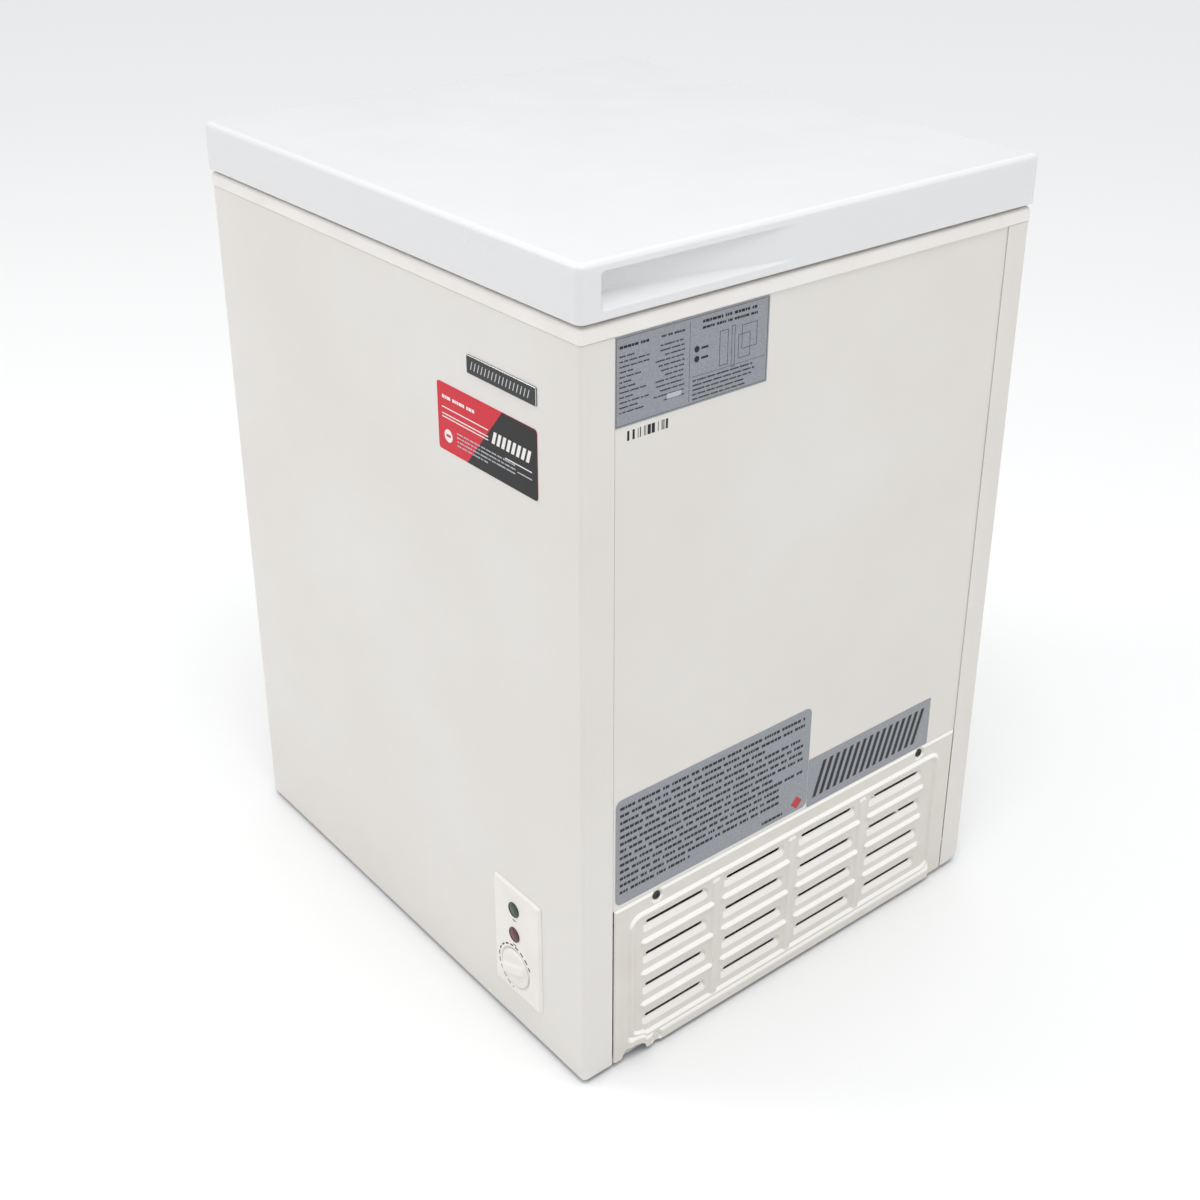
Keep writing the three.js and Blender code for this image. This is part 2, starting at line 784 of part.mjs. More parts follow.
function addLines() {
  const dome = compressorTop + gap;
  const lineY = compressorBack + 28;
  const discharge = [
    at(compressorX + 20, lineY, compressorTop - 12),
    at(compressorX + 20, lineY, coilEndZ - 10),
    at(condenserInlet, condenserY, coilEndZ - 10),
    at(condenserInlet, condenserY, coilEndZ - gap),
  ];
  const suction = [
    at(evaporatorX, 0, coilEndZ - gap),
    at(evaporatorX, 0, dome + 4),
    at(compressorX, compressorBack - 20, dome + 4),
    at(compressorX, compressorBack - 20, compressorTop - 12),
  ];
  const shell = solidOf(
    cylinderZ(compressorHalfX, 0, 0, compressorBottom - 1, compressorTop + gap)
      .scale(1, compressorHalfY / compressorHalfX, 1)
      .translate(compressorX, compressorBack, 0),
  );
  const dischargeTube = solidOf(tube(bentRoute(discharge, 8), condenserRadius));
  const suctionTube = solidOf(tube(bentRoute(suction, 8), lineRadius));
  addPiece('discharge_line', dischargeTube.subtract(shell), copper);
  addPiece('suction_line', suctionTube.subtract(shell), copper);
  const capillary = [
    at(drierX, drierY, drierBottom - gap),
    at(drierX, drierY, drierBottom - 14),
    at(drierX, -riserOffset - 60, drierBottom - 14),
    at(drierX, -riserOffset - 60, coilEndZ - 20),
    at(evaporatorX, -riserOffset - 60, coilEndZ - 20),
    at(evaporatorX, -riserOffset, coilEndZ - 20),
    at(evaporatorX, -riserOffset, coilEndZ - gap),
  ];
  addPiece('capillary_tube', tube(bentRoute(capillary, 8), capillaryRadius, 5), copper);
  const neck = lineRadius + 1;
  const drier = [
    [0, drierBottom],
    [neck, drierBottom],
    [drierRadius, drierBottom + 12],
    [drierRadius, drierTop - 12],
    [neck, drierTop],
    [0, drierTop],
  ];
  addPiece('filter_drier', turned(drier, 16).translate(drierX, drierY, 0), copper);
}

// ---------------------------------------------------------------- thermostat and front panel
const bezelFace = front - bezelProud;
const insertBack = front + 12;
const thermostatFront = insertBack + gap;
const thermostatBack = thermostatFront + thermostatDepth;
const dishFace = bezelFace + dishDepth;

function addThermostat() {
  const body = block(
    knobX - thermostatWidth / 2,
    knobX + thermostatWidth / 2,
    thermostatFront,
    thermostatBack,
    knobZ - thermostatHeight / 2,
    knobZ + thermostatHeight / 2,
  );
  const bore = shaftRadius + runningGap;
  const socket = solidOf(cylinderY(bore, knobX, knobZ, thermostatFront - 1, thermostatFront + 12));
  addPiece('thermostat_body', body.subtract(socket), {
    color: 0xd8d2c2,
    roughness: 0.6,
    metalness: 0,
  });
  const shaft = cylinderY(shaftRadius, knobX, knobZ, dishFace - knobDisc - 2, thermostatFront + 11);
  addPiece('thermostat_shaft', shaft, zincSteel);
}

// A disc with a straight grip bar across it, turned to its rest angle
function addKnob() {
  const discBack = dishFace - gap;
  const discFront = discBack - knobDisc;
  const disc = solidOf(cylinderY(knobRadius, 0, 0, discFront, discBack, 40));
  const bar = block(-knobRadius + 2, knobRadius - 2, discFront - knobGrip, discFront + 1, -6.5, 6.5);
  const bore = solidOf(
    cylinderY(shaftRadius + runningGap, 0, 0, dishFace - knobDisc - 2 - gap, discBack + 1),
  );
  const knob = disc.add(bar).subtract(bore);
  const geometry = geometryOf(knob);
  geometry.rotateY(-THREE.MathUtils.degToRad(knobRest));
  geometry.translate(knobX, 0, knobZ);
  addPiece('thermostat_knob', geometry, whitePlastic);
}

function addBezel() {
  const plate = block(
    bezelLeft,
    bezelLeft + bezelWidth,
    bezelFace,
    front - gap,
    bezelBottom,
    bezelTop,
  );
  const border = bezelFlange + gap;
  const insert = block(
    bezelLeft + border,
    bezelLeft + bezelWidth - border,
    front - 1,
    insertBack,
    bezelBottom + border,
    bezelTop - border,
  );
  const skin = 2;
  const hollow = block(
    bezelLeft + border + skin,
    bezelLeft + bezelWidth - border - skin,
    dishFace + skin,
    insertBack + 1,
    bezelBottom + border + skin,
    bezelTop - border - skin,
  );
  const dish = solidOf(cylinderY(dishRadius, knobX, knobZ, bezelFace - 1, dishFace, 40));
  const shaftHole = solidOf(cylinderY(shaftRadius + 1, knobX, knobZ, bezelFace - 1, insertBack));
  let bezel = plate.add(insert).subtract(hollow).subtract(dish).subtract(shaftHole);
  for (const z of lampHeights) {
    bezel = bezel.subtract(
      solidOf(cylinderY(lampRadius + gap, knobX, z, bezelFace - 1, insertBack + 1)),
    );
  }
  addPiece('control_bezel', bezel, whitePlastic);
}

const lampHeights = [bezelTop - lampDrop, bezelTop - lampDrop - lampSpacing];

function addLamps() {
  const colours = [0x1e2b22, 0x3a0a14];
  const names = ['green_lamp', 'red_lamp'];
  const profile = [
    [0, -9],
    [5, -9],
    [5, -4],
    [lampRadius, -4],
    [lampRadius, bezelProud],
    [lampRadius - 2, bezelProud + lampProud],
    [0, bezelProud + lampProud],
  ];
  for (let i = 0; i < names.length; i += 1) {
    const lens = turned(profile, 16).rotateX(Math.PI / 2).translate(knobX, front, lampHeights[i]);
    addPiece(names[i], lens, { color: colours[i], roughness: 0.15, metalness: 0 });
  }
}

function addHarness() {
  const start = at(knobX + 12, thermostatBack + gap, knobZ - 8);
  const end = at(compressorX, relayFront - gap, compressorBottom + 60);
  const corners = [
    start,
    at(start.x, start.y + 40, start.z),
    at(end.x, end.y - 40, end.z),
    end,
  ];
  addPiece('wiring_harness', tube(bentRoute(corners, 14), harnessRadius), blackRubber);
}

// ---------------------------------------------------------------- compressor cover
function addCompressorCover() {
  const inner = coverFace - coverSheet;
  let cover = block(inner, coverFace, coverFront, coverRear, cabinetBottom, coverTop);
  const archMiddle = coverFront + archFront + archWidth / 2;
  const arch = cylinderX(archWidth / 2, archMiddle, 0, inner - 1, coverFace + 1, 32);
  arch.scale(1, 1, (2 * archHeight) / archWidth).translate(0, 0, cabinetBottom);
  cover = cover.subtract(solidOf(arch));
  const fieldY0 = coverFront + fieldFront;
  const fieldY1 = coverRear - fieldRear;
  const fieldZ0 = fieldBottom;
  const fieldZ1 = coverTop - fieldTop;
  const halfY = (fieldY1 - fieldY0) / 2;
  const halfZ = (fieldZ1 - fieldZ0) / 2;
  const middleY = (fieldY0 + fieldY1) / 2;
  const middleZ = (fieldZ0 + fieldZ1) / 2;
  const bead = roundedSlab(halfY + beadWidth, halfZ + beadWidth, 14, 0, coverBead).subtract(
    roundedSlab(halfY, halfZ, 7, -1, coverBead + 1),
  );
  const beadGeometry = geometryOf(bead).rotateX(Math.PI / 2).rotateZ(Math.PI / 2);
  beadGeometry.translate(coverFace - 0.2, middleY, middleZ);
  cover = cover.add(solidOf(beadGeometry));
  const pitchY = (fieldY1 - columnsRear - fieldY0) / louvreColumns;
  const pitchZ = (coverTop - topSlotDrop - lowestSlot) / (louvreRows - 1);
  const slotLength = pitchY - columnBar;
  for (let column = 0; column < louvreColumns; column += 1) {
    const y = fieldY0 + (column + 0.5) * pitchY;
    for (let row = 0; row < louvreRows; row += 1) {
      const slotZ = lowestSlot + row * pitchZ;
      const ribZ = slotZ - ribDrop;
      const ribEnd = ribLength / 2;
      if (row > 0) {
        cover = cover.add(
          block(
            coverFace - 0.2,
            coverFace + coverBead,
            y - ribEnd,
            y + ribEnd,
            ribZ - ribHeight / 2,
            ribZ + ribHeight / 2,
          ),
        );
      }
      cover = cover.subtract(
        block(
          inner - 1,
          coverFace + 1,
          y - slotLength / 2,
          y + slotLength / 2,
          slotZ - slotHeight / 2,
          slotZ + slotHeight / 2,
        ),
      );
    }
  }
  coverScrews.forEach(([y, z], index) => {
    cover = cover.subtract(solidOf(cylinderX(screwShank + gap, y, z, inner - 1, coverFace + 1, 12)));
    const profile = [
      [0, -screwReach],
      [screwShank, -screwReach],
      [screwShank, gap],
      [screwHead, gap],
      [screwHead - 1.4, gap + 1.7],
      [0, gap + 1.9],
    ];
    const screw = turned(profile, 16).rotateY(Math.PI / 2).translate(coverFace, y, z);
    addPiece(`cover_screw_${index + 1}`, screw, zincSteel);
  });
  addPiece('compressor_cover', cover, whitePlastic);
}

// ---------------------------------------------------------------- rim
function addRim() {
  const bottom = cabinetTop + gap;
  const outer = roundedSlab(
    halfWidth + rimOverhang,
    halfDepth + rimOverhang,
    cornerRadius + rimOverhang,
    bottom,
    rimTop,
  );
  const openX = linerHalfX - gap;
  const openY = linerHalfY - gap;
  const opening = roundedSlab(openX, openY, linerRadius - gap, bottom - 1, rimTop + 1);
  const ledge = roundedSlab(
    openX + rimLedgeWidth,
    openY + rimLedgeWidth,
    linerRadius + rimLedgeWidth,
    rimTop - rimLedgeDepth,
    rimTop + 1,
  );
  addPiece('rim_frame', outer.subtract(opening).subtract(ledge), whitePlastic);
}

// ---------------------------------------------------------------- lid
// A wedge-shaped pocket, deepest near the front and running out towards the rear
function gripPocket(side, grow) {
  const start = -lidHalfY + gripStart - grow;
  const full = start + gripFullDepth + 2 * grow;
  const end = -lidHalfY + gripStart + gripLength + grow;
  const face = lidHalfX + 1;
  const deep = lidHalfX - gripDepth - grow;
  const bottom = lidBottom + gripBottom - grow;
  const top = lidTop - gripTop + grow;
  const slope = bottom + gripSlope;
  const points = [];
  for (const y of [start, end]) {
    points.push(at(side * face, y, bottom));
    points.push(at(side * face, y, top));
  }
  for (const y of [start, full]) {
    points.push(at(side * deep, y, slope));
    points.push(at(side * deep, y, top));
  }
  if (grow > 0) {
    points.push(at(side * (lidHalfX - grow), end, bottom));
    points.push(at(side * (lidHalfX - grow), end, top));
  }
  return solidOf(new ConvexGeometry(points));
}

function lidEnvelope(inset, z0) {
  const width = 2 * (lidHalfX - inset);
  const depth = 2 * (lidHalfY - inset);
  const height = 2 * lidHeight;
  const radius = Math.max(lidRadius - inset, 1);
  const rounded = new RoundedBoxGeometry(width, depth, height, 3, radius);
  rounded.translate(0, 0, lidTop - inset - height / 2);
  const below = centredBlock(lidHalfX + 5, lidHalfY + 5, lidTop - 3 * lidHeight, z0);
  return solidOf(rounded).subtract(below);
}

function addLidOuter() {
  let shell = lidEnvelope(0, lidBottom);
  let hollow = lidEnvelope(lidSkin, lidBottom - 1);
  for (const side of [-1, 1]) {
    shell = shell.subtract(gripPocket(side, 0));
    hollow = hollow.subtract(gripPocket(side, lidSkin));
  }
  addPiece('lid_outer', shell.subtract(hollow), whitePaint);
}

function addLidFoam() {
  let foam = lidEnvelope(lidSkin + gap, lidInnerZ + gap);
  for (const side of [-1, 1]) {
    foam = foam.subtract(gripPocket(side, lidSkin + gap));
  }
  addPiece('lid_foam', foam, foamFinish);
}

function addLidInner() {
  const edgeX = lidHalfX - lidSkin - gap;
  const edgeY = lidHalfY - lidSkin - gap;
  const edgeRadius = lidRadius - lidSkin;
  const plate = roundedSlab(edgeX, edgeY, edgeRadius, lidInnerZ - lidInnerSkin, lidInnerZ);
  const plugX = linerHalfX - 14;
  const plugY = linerHalfY - 14;
  const plugBottom = lidInnerZ - lidInnerSkin - lidPlugDrop;
  const plug = roundedSlab(plugX, plugY, 18, plugBottom, lidInnerZ - 1);
  const hollow = roundedSlab(
    plugX - lidInnerSkin,
    plugY - lidInnerSkin,
    18 - lidInnerSkin,
    plugBottom + lidInnerSkin,
    lidInnerZ + 1,
  );
  addPiece('lid_inner', plate.add(plug).subtract(hollow), whitePlastic);
}

function addLidGasket() {
  const bottom = rimTop + gap;
  const top = lidInnerZ - lidInnerSkin - gap;
  const outerX = halfWidth - gasketInset;
  const outerY = halfDepth - gasketInset;
  const outer = roundedSlab(outerX, outerY, 14, bottom, top);
  const inner = roundedSlab(
    outerX - gasketWidth,
    outerY - gasketWidth,
    14 - gasketWidth / 2,
    bottom - 1,
    top + 1,
  );
  addPiece('lid_gasket', outer.subtract(inner), { color: 0x8f8f8d, roughness: 0.7, metalness: 0 });
}

// ---------------------------------------------------------------- hinges
function addHinge(side, word) {
  const middle = (side * hingeSpread) / 2;
  const bore = pinRadius + runningGap;
  const armHalf = knuckleLength / 2;
  const earIn = armHalf + springRoom + gap;
  const earOut = earIn + hingePlate;
  const plateBack = rear + gap + hingePlate;
  const plateTop = pivotZ + knuckleRadius;
  let bracket = block(
    middle - hingePlateWidth / 2,
    middle + hingePlateWidth / 2,
    rear + gap,
    plateBack,
    plateTop - rimHeight - hingePlateHeight,
    cabinetTop - gap,
  );
  for (const ear of [-1, 1]) {
    const x0 = middle + Math.min(ear * earIn, ear * earOut);
    const x1 = x0 + hingePlate;
    const outline = [
      [rear + gap + 0.5, cabinetTop - 30],
      [rear + gap + hingePlate, cabinetTop - 30],
      [pivotY + knuckleRadius, pivotZ - 8],
      [pivotY + knuckleRadius, pivotZ],
      [rear + rimOverhang + gap, pivotZ],
      [rear + rimOverhang + gap, cabinetTop - gap],
      [rear + gap + 0.5, cabinetTop - gap],
    ];
    bracket = bracket.add(solidOf(extrudeX(outline, x0, x1)));
    bracket = bracket.add(solidOf(cylinderX(knuckleRadius, pivotY, pivotZ, x0, x1)));
  }
  const pinHole = solidOf(
    cylinderX(bore, pivotY, pivotZ, middle - earOut - 1, middle + earOut + 1),
  );
  addPiece(`hinge_bracket_${word}`, bracket.subtract(pinHole), zincSteel);

  const armFace = lidHalfY + gap;
  const armPlate = block(
    middle - 20,
    middle + 20,
    armFace,
    armFace + hingePlate,
    lidBottom + 5,
    lidTop - 8,
  );
  const neckOutline = [
    [armFace, lidBottom + 12],
    [armFace, pivotZ],
    [pivotY, pivotZ],
    [pivotY + knuckleRadius - 0.5, pivotZ + 2],
    [armFace + hingePlate, lidBottom + 12],
  ];
  const neck = solidOf(extrudeX(neckOutline, middle - armHalf, middle + armHalf));
  const barrel = solidOf(
    cylinderX(knuckleRadius, pivotY, pivotZ, middle - armHalf, middle + armHalf),
  );
  addPiece(
    `hinge_arm_${word}`,
    armPlate.add(neck).add(barrel).subtract(pinHole),
    zincSteel,
  );

  const pin = cylinderX(pinRadius, pivotY, pivotZ, middle - earOut - 2, middle + earOut + 2);
  addPiece(`hinge_pin_${word}`, pin, zincSteel);

  const coil = [];
  const turns = 3;
  const perTurn = 8;
  const coilRadius = pinRadius + runningGap + springWire + 0.3;
  const coilStart = armHalf + gap + springWire;
  const coilLength = springRoom - 2 * springWire - gap;
  for (let i = 0; i <= turns * perTurn; i += 1) {
    const angle = (2 * Math.PI * i) / perTurn;
    coil.push(
      at(
        middle + coilStart + (coilLength * i) / (turns * perTurn),
        pivotY + coilRadius * Math.cos(angle),
        pivotZ + coilRadius * Math.sin(angle),
      ),
    );
  }
  addPiece(`hinge_spring_${word}`, tube(coil, springWire / 2 + 0.2, 5), zincSteel);
}

const springRoom = 10;

// ---------------------------------------------------------------- labels and badge
function addFrontPlates() {
  const back = front - labelGap;
  const badgeRight = halfWidth - badgeFromRight;
  const badgeTop = cabinetTop - badgeDrop;
  addPiece(
    'badge_plate',
    box(
      badgeRight - badgeLength,
      badgeRight,
      back - badgeSheet,
      back,
      badgeTop - badgeHeight,
      badgeTop,
    ),
    { color: 0x0b0b0d, roughness: 0.2, metalness: 0 },
  );
  const stickerRight = halfWidth - stickerFromRight;
  const stickerTop = cabinetTop - stickerDrop;
  addPiece(
    'front_sticker',
    box(
      stickerRight - stickerLength,
      stickerRight,
      back - labelSheet,
      back,
      stickerTop - stickerHeight,
      stickerTop,
    ),
    { color: 0xe0243c, roughness: 0.3, metalness: 0 },
  );
}

function addSideLabels() {
  const inner = sideFace + labelGap;
  const seam = front + frontReturn + gap;
  const warningStart = seam + warningInset;
  const lowerStart = warningStart + warningLength + labelBorder;
  const ratingTop = cabinetTop - labelBorder;
  const labels = [
    ['rating_label', seam, ratingLength, ratingTop - ratingHeight, ratingHeight],
    ['warning_label', warningStart, warningLength, coverTop + warningRise, warningHeight],
    ['lower_label', lowerStart, lowerLength, coverTop + lowerRise, lowerHeight],
  ];
  for (const [name, y, length, z, height] of labels) {
    addPiece(name, box(inner, inner + labelSheet, y, y + length, z, z + height), labelFoil);
  }
}

// ---------------------------------------------------------------- feet, gland, drain, basket
function addFeet() {
  let number = 1;
  for (const sideX of [-1, 1]) {
    for (const sideY of [-1, 1]) {
      const x = sideX * (halfWidth - footInset);
      const y = sideY * (halfDepth - footInset);
      const profile = [
        [0, 0],
        [footRadius - 3, 0],
        [footRadius, 2],
        [footRadius, panTop - sheet - gap],
        [0, panTop - sheet - gap],
      ];
      addPiece(`foot_${number}`, turned(profile, 16).translate(x, y, 0), blackRubber);
      number += 1;
    }
  }
}

function addCableGland() {
  const neck = glandRadius - gap;
  const profile = [
    [0, -10],
    [glandRadius + 3, -10],
    [glandRadius + 3, -sheet - gap],
    [neck, -sheet - gap],
    [neck, gap],
    [glandRadius + 3, gap],
    [glandRadius + 1, 4],
    [4, 4],
    [4, -4],
    [0, -4],
  ];
  const gland = turned(profile).rotateX(-Math.PI / 2).translate(glandX, rear, glandHeight);
  addPiece('cable_gland', gland, blackRubber);
}

const drainX = -halfWidth + drainFromLeft;

// The drain falls from the liner's floor and leaves through the left side
function addDrain() {
  const corners = [
    at(drainX, 0, linerFloor - linerSheet - gap),
    at(drainX, 0, drainHeight),
    at(-sideFace - 0.5, 0, drainHeight),
  ];
  const route = bentRoute(corners, drainBend, 4);
  const pipe = tube(route, drainRadius, 16, drainRadius - drainWall);
  addPiece('drain_tube', pipe, whitePlastic);
  const fit = drainRadius - drainWall - gap;
  const plug = [
    [0, -14],
    [fit - 1.5, -14],
    [fit - 0.4, 0],
    [fit - 0.4, gap],
    [drainRadius + 4, gap],
    [drainRadius + 3, drainPlugProud],
    [0, drainPlugProud],
  ];
  addPiece('drain_plug', turned(plug).translate(drainX, 0, linerFloor), blackRubber);
  const cap = [
    [0, -12],
    [fit - 1, -12],
    [fit - 0.4, gap],
    [drainRadius + 5, gap],
    [drainRadius + 4, drainCapProud],
    [0, drainCapProud],
  ];
  const capPiece = turned(cap).rotateY(-Math.PI / 2).translate(-sideFace - 0.5, 0, drainHeight);
  addPiece('drain_cap', capPiece, whitePlastic);
}

// A basket that hangs on the rim's front and rear ledges by a bail at each end: a tapered tub
// of the basket's true outer shape, open at the top
function taperedTub(topX, topY, lowX, lowY, top, bottom) {
  const points = [];
  for (const sideX of [-1, 1]) {
    for (const sideY of [-1, 1]) {
      points.push(at(basketMiddle + sideX * topX, sideY * topY, top));
      points.push(at(basketMiddle + sideX * lowX, sideY * lowY, bottom));
    }
  }
  return solidOf(new ConvexGeometry(points));
}

function addBasket() {
  const wire = 2 * basketWire;
  const top = rimTop - rimLedgeDepth + gap + wire;
  const bottom = top - basketDepth;
  const topX = basketLength / 2;
  const topY = linerHalfY - 10;
  const lowX = topX - basketTaper;
  const lowY = topY - basketTaper;
  const outer = taperedTub(topX, topY, lowX, lowY, top, bottom);
  const inner = taperedTub(
    topX - wire,
    topY - wire,
    lowX - wire,
    lowY - wire,
    top + 0.01,
    bottom + wire,
  );
  let basket = outer.subtract(inner);
  const bailReach = linerHalfY + rimLedgeWidth - 3;
  const bailHalf = topX * bailShare;
  for (const side of [-1, 1]) {
    const near = side * (topY - 1);
    const far = side * bailReach;
    const bail = block(
      basketMiddle - bailHalf,
      basketMiddle + bailHalf,
      Math.min(near, far),
      Math.max(near, far),
      top - wire,
      top,
    );
    const nearHole = side * (topY + 0.01);
    const farHole = side * (bailReach - wire);
    const hole = block(
      basketMiddle - bailHalf + wire,
      basketMiddle + bailHalf - wire,
      Math.min(nearHole, farHole),
      Math.max(nearHole, farHole),
      top - wire - 1,
      top + 1,
    );
    basket = basket.add(bail.subtract(hole));
  }
  addPiece('wire_basket', basket, { color: 0xe9e9e6, roughness: 0.35, metalness: 0 });
}

const basketMiddle = linerHalfX - basketLength / 2 - 12;

// ---------------------------------------------------------------- the assembly
addFrontPanel();
addBackPanel();
addSidePanels();
addBasePan();
addBayDivider();
addInnerLiner();
addCabinetFoam();
addEvaporator();
addCondenser();
addCompressor();
addCompressorMounts();
addRelayBox();
addLines();
addThermostat();
addKnob();
addBezel();
addLamps();
addHarness();
addCompressorCover();
addRim();
addLidOuter();
addLidFoam();
addLidInner();
addLidGasket();
addHinge(-1, 'left');
addHinge(1, 'right');
addFrontPlates();
addSideLabels();
addFeet();
addCableGland();
addDrain();
addBasket();

// The origin is the middle of the whole object's footprint, which reaches from the knob's
// grip in front to the hinge knuckles behind
const frontReach = dishFace - gap - knobDisc - knobGrip;
const rearReach = pivotY + knuckleRadius;
freezer.position.y = -(frontReach + rearReach) / 2;
freezer.updateMatrixWorld(true);

export default freezer;
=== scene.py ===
# %% [markdown]
# # A compact chest freezer
#
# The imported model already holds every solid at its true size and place, but its surfaces are
# plain facets. This lesson dresses it: pressed sheet, moulded plastic, a louvred cover, wire,
# printed foil and rubber, each as its own piece that rides on the body it belongs to.
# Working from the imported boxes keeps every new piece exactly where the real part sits.

import json
import math
import random

import bmesh
import bpy
from mathutils import Matrix, Vector


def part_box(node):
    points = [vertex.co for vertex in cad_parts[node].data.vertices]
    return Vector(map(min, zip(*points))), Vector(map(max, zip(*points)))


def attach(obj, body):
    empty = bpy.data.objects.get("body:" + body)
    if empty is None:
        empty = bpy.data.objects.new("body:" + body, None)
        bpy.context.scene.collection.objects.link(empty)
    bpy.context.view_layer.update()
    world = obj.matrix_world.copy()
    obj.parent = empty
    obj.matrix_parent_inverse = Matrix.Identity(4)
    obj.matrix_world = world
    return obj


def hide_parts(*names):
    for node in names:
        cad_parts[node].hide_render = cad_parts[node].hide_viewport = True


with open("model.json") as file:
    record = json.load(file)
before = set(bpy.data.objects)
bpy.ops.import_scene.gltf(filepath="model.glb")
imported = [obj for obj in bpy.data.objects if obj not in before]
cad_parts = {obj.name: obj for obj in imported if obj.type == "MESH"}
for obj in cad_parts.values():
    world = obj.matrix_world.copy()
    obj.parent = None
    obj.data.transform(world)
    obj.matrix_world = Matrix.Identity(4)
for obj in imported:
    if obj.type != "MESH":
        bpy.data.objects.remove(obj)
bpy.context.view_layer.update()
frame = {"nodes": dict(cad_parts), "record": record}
MM = 0.001


# %% [markdown]
# Sheet metal drawings are in millimetres and so are the shapes below; they are scaled to
# metres once, when a piece is finished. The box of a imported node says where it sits.


# %% Where a node sits, in millimetres
def span(node):
    """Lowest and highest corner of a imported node, in millimetres."""
    low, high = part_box(node)
    return low / MM, high / MM


BODY_OF = {}
for body_name, members in frame["record"]["behaviour"]["bodies"].items():
    for member in members:
        BODY_OF[member] = body_name
print("lid box:", [round(v, 1) for corner in span("lid_outer") for v in corner])


# %% [markdown]
# ## Finishes
#
# Paint charts give colours as sRGB hex, and the renderer wants linear light, so one function
# turns them over. A second one adds a shader node with its settings and links.


# %% Colour and node helpers
def tint(hex_colour):
    """An sRGB hex colour as linear red, green, blue and alpha."""
    parts = [int(hex_colour[i : i + 2], 16) / 255 for i in (1, 3, 5)]
    curve = [c / 12.92 if c <= 0.04045 else ((c + 0.055) / 1.055) ** 2.4 for c in parts]
    return (*curve, 1.0)


def add_node(tree, kind, settings, sockets):
    """A shader node with its settings, its constants and its incoming links."""
    made = tree.nodes.new(kind)
    for key, value in settings.items():
        setattr(made, key, value)
    for key, value in sockets.items():
        if isinstance(value, bpy.types.NodeSocket):
            tree.links.new(value, made.inputs[key])
        else:
            made.inputs[key].default_value = value
    return made


def start_finish(name, colour, metallic, roughness):
    """A new material: its tree, its shader and the object's own coordinates in metres."""
    finish = bpy.data.materials.new(name)
    finish.use_nodes = True
    tree = finish.node_tree
    shader = tree.nodes["Principled BSDF"]
    shader.inputs["Base Color"].default_value = tint(colour)
    shader.inputs["Metallic"].default_value = metallic
    shader.inputs["Roughness"].default_value = roughness
    place = add_node(tree, "ShaderNodeTexCoord", {}, {}).outputs["Object"]
    return finish, tree, shader, place


FINISH = {}
print("powder coat in linear light:", [round(c, 3) for c in tint("#DFDCD7")])

# %% [markdown]
# The cabinet is steel sheet with an electrostatic powder coat, baked in an oven. The powder
# flows into a skin with a fine orange peel, about 3 mm from crest to crest, which breaks a
# reflection softly. Foam is blown in behind the sheet and leaves it very slightly wavy over
# about 150 mm, and handling gives the gloss a faint unevenness.

# %% Powder-coated steel sheet
finish, tree, shader, place = start_finish("powder_coated_steel", "#DFDCD7", 0.0, 0.34)
shader.inputs["IOR"].default_value = 1.5
cloud = add_node(
    tree, "ShaderNodeTexNoise", {}, {"Vector": place, "Scale": 1 / 0.22, "Detail": 3.0}
)
tone = add_node(tree, "ShaderNodeValToRGB", {}, {"Fac": cloud.outputs["Fac"]})
tone.color_ramp.elements[0].position = 0.3
tone.color_ramp.elements[0].color = tint("#DDD9D3")
tone.color_ramp.elements[1].position = 0.7
tone.color_ramp.elements[1].color = tint("#E2DFDB")
tree.links.new(tone.outputs["Color"], shader.inputs["Base Color"])
handled = add_node(
    tree, "ShaderNodeTexNoise", {}, {"Vector": place, "Scale": 1 / 0.05, "Detail": 5.0}
)
gloss = add_node(
    tree,
    "ShaderNodeMapRange",
    {},
    {
        "Value": handled.outputs["Fac"],
        "From Min": 0.3,
        "From Max": 0.7,
        "To Min": 0.29,
        "To Max": 0.4,
    },
)
tree.links.new(gloss.outputs["Result"], shader.inputs["Roughness"])
peel = add_node(
    tree, "ShaderNodeTexNoise", {}, {"Vector": place, "Scale": 1 / 0.003, "Detail": 1.0}
)
wave = add_node(
    tree, "ShaderNodeTexNoise", {}, {"Vector": place, "Scale": 1 / 0.15, "Detail": 1.0}
)
foam_wave = add_node(
    tree,
    "ShaderNodeBump",
    {},
    {"Height": wave.outputs["Fac"], "Strength": 1.0, "Distance": 0.0012},
)
orange_peel = add_node(
    tree,
    "ShaderNodeBump",
    {},
    {
        "Height": peel.outputs["Fac"],
        "Normal": foam_wave.outputs["Normal"],
        "Strength": 0.6,
        "Distance": 0.00006,
    },
)
tree.links.new(orange_peel.outputs["Normal"], shader.inputs["Normal"])
FINISH["white_enamel"] = finish

# %% [markdown]
# The lid's skin is the same steel, but coated on a flat coil before it is folded. The coating
# levels out better, so it is glossier, cooler and has a finer peel.

# %% Coil-coated lid sheet
finish, tree, shader, place = start_finish("coil_coated_lid", "#E1E1E2", 0.0, 0.2)
shader.inputs["IOR"].default_value = 1.5
smudge = add_node(
    tree, "ShaderNodeTexNoise", {}, {"Vector": place, "Scale": 1 / 0.09, "Detail": 4.0}
)
gloss = add_node(
    tree,
    "ShaderNodeMapRange",
    {},
    {
        "Value": smudge.outputs["Fac"],
        "From Min": 0.3,
        "From Max": 0.7,
        "To Min": 0.2,
        "To Max": 0.28,
    },
)
tree.links.new(gloss.outputs["Result"], shader.inputs["Roughness"])
peel = add_node(
    tree, "ShaderNodeTexNoise", {}, {"Vector": place, "Scale": 1 / 0.004, "Detail": 1.0}
)
fine_peel = add_node(
    tree,
    "ShaderNodeBump",
    {},
    {"Height": peel.outputs["Fac"], "Strength": 0.4, "Distance": 0.00004},
)
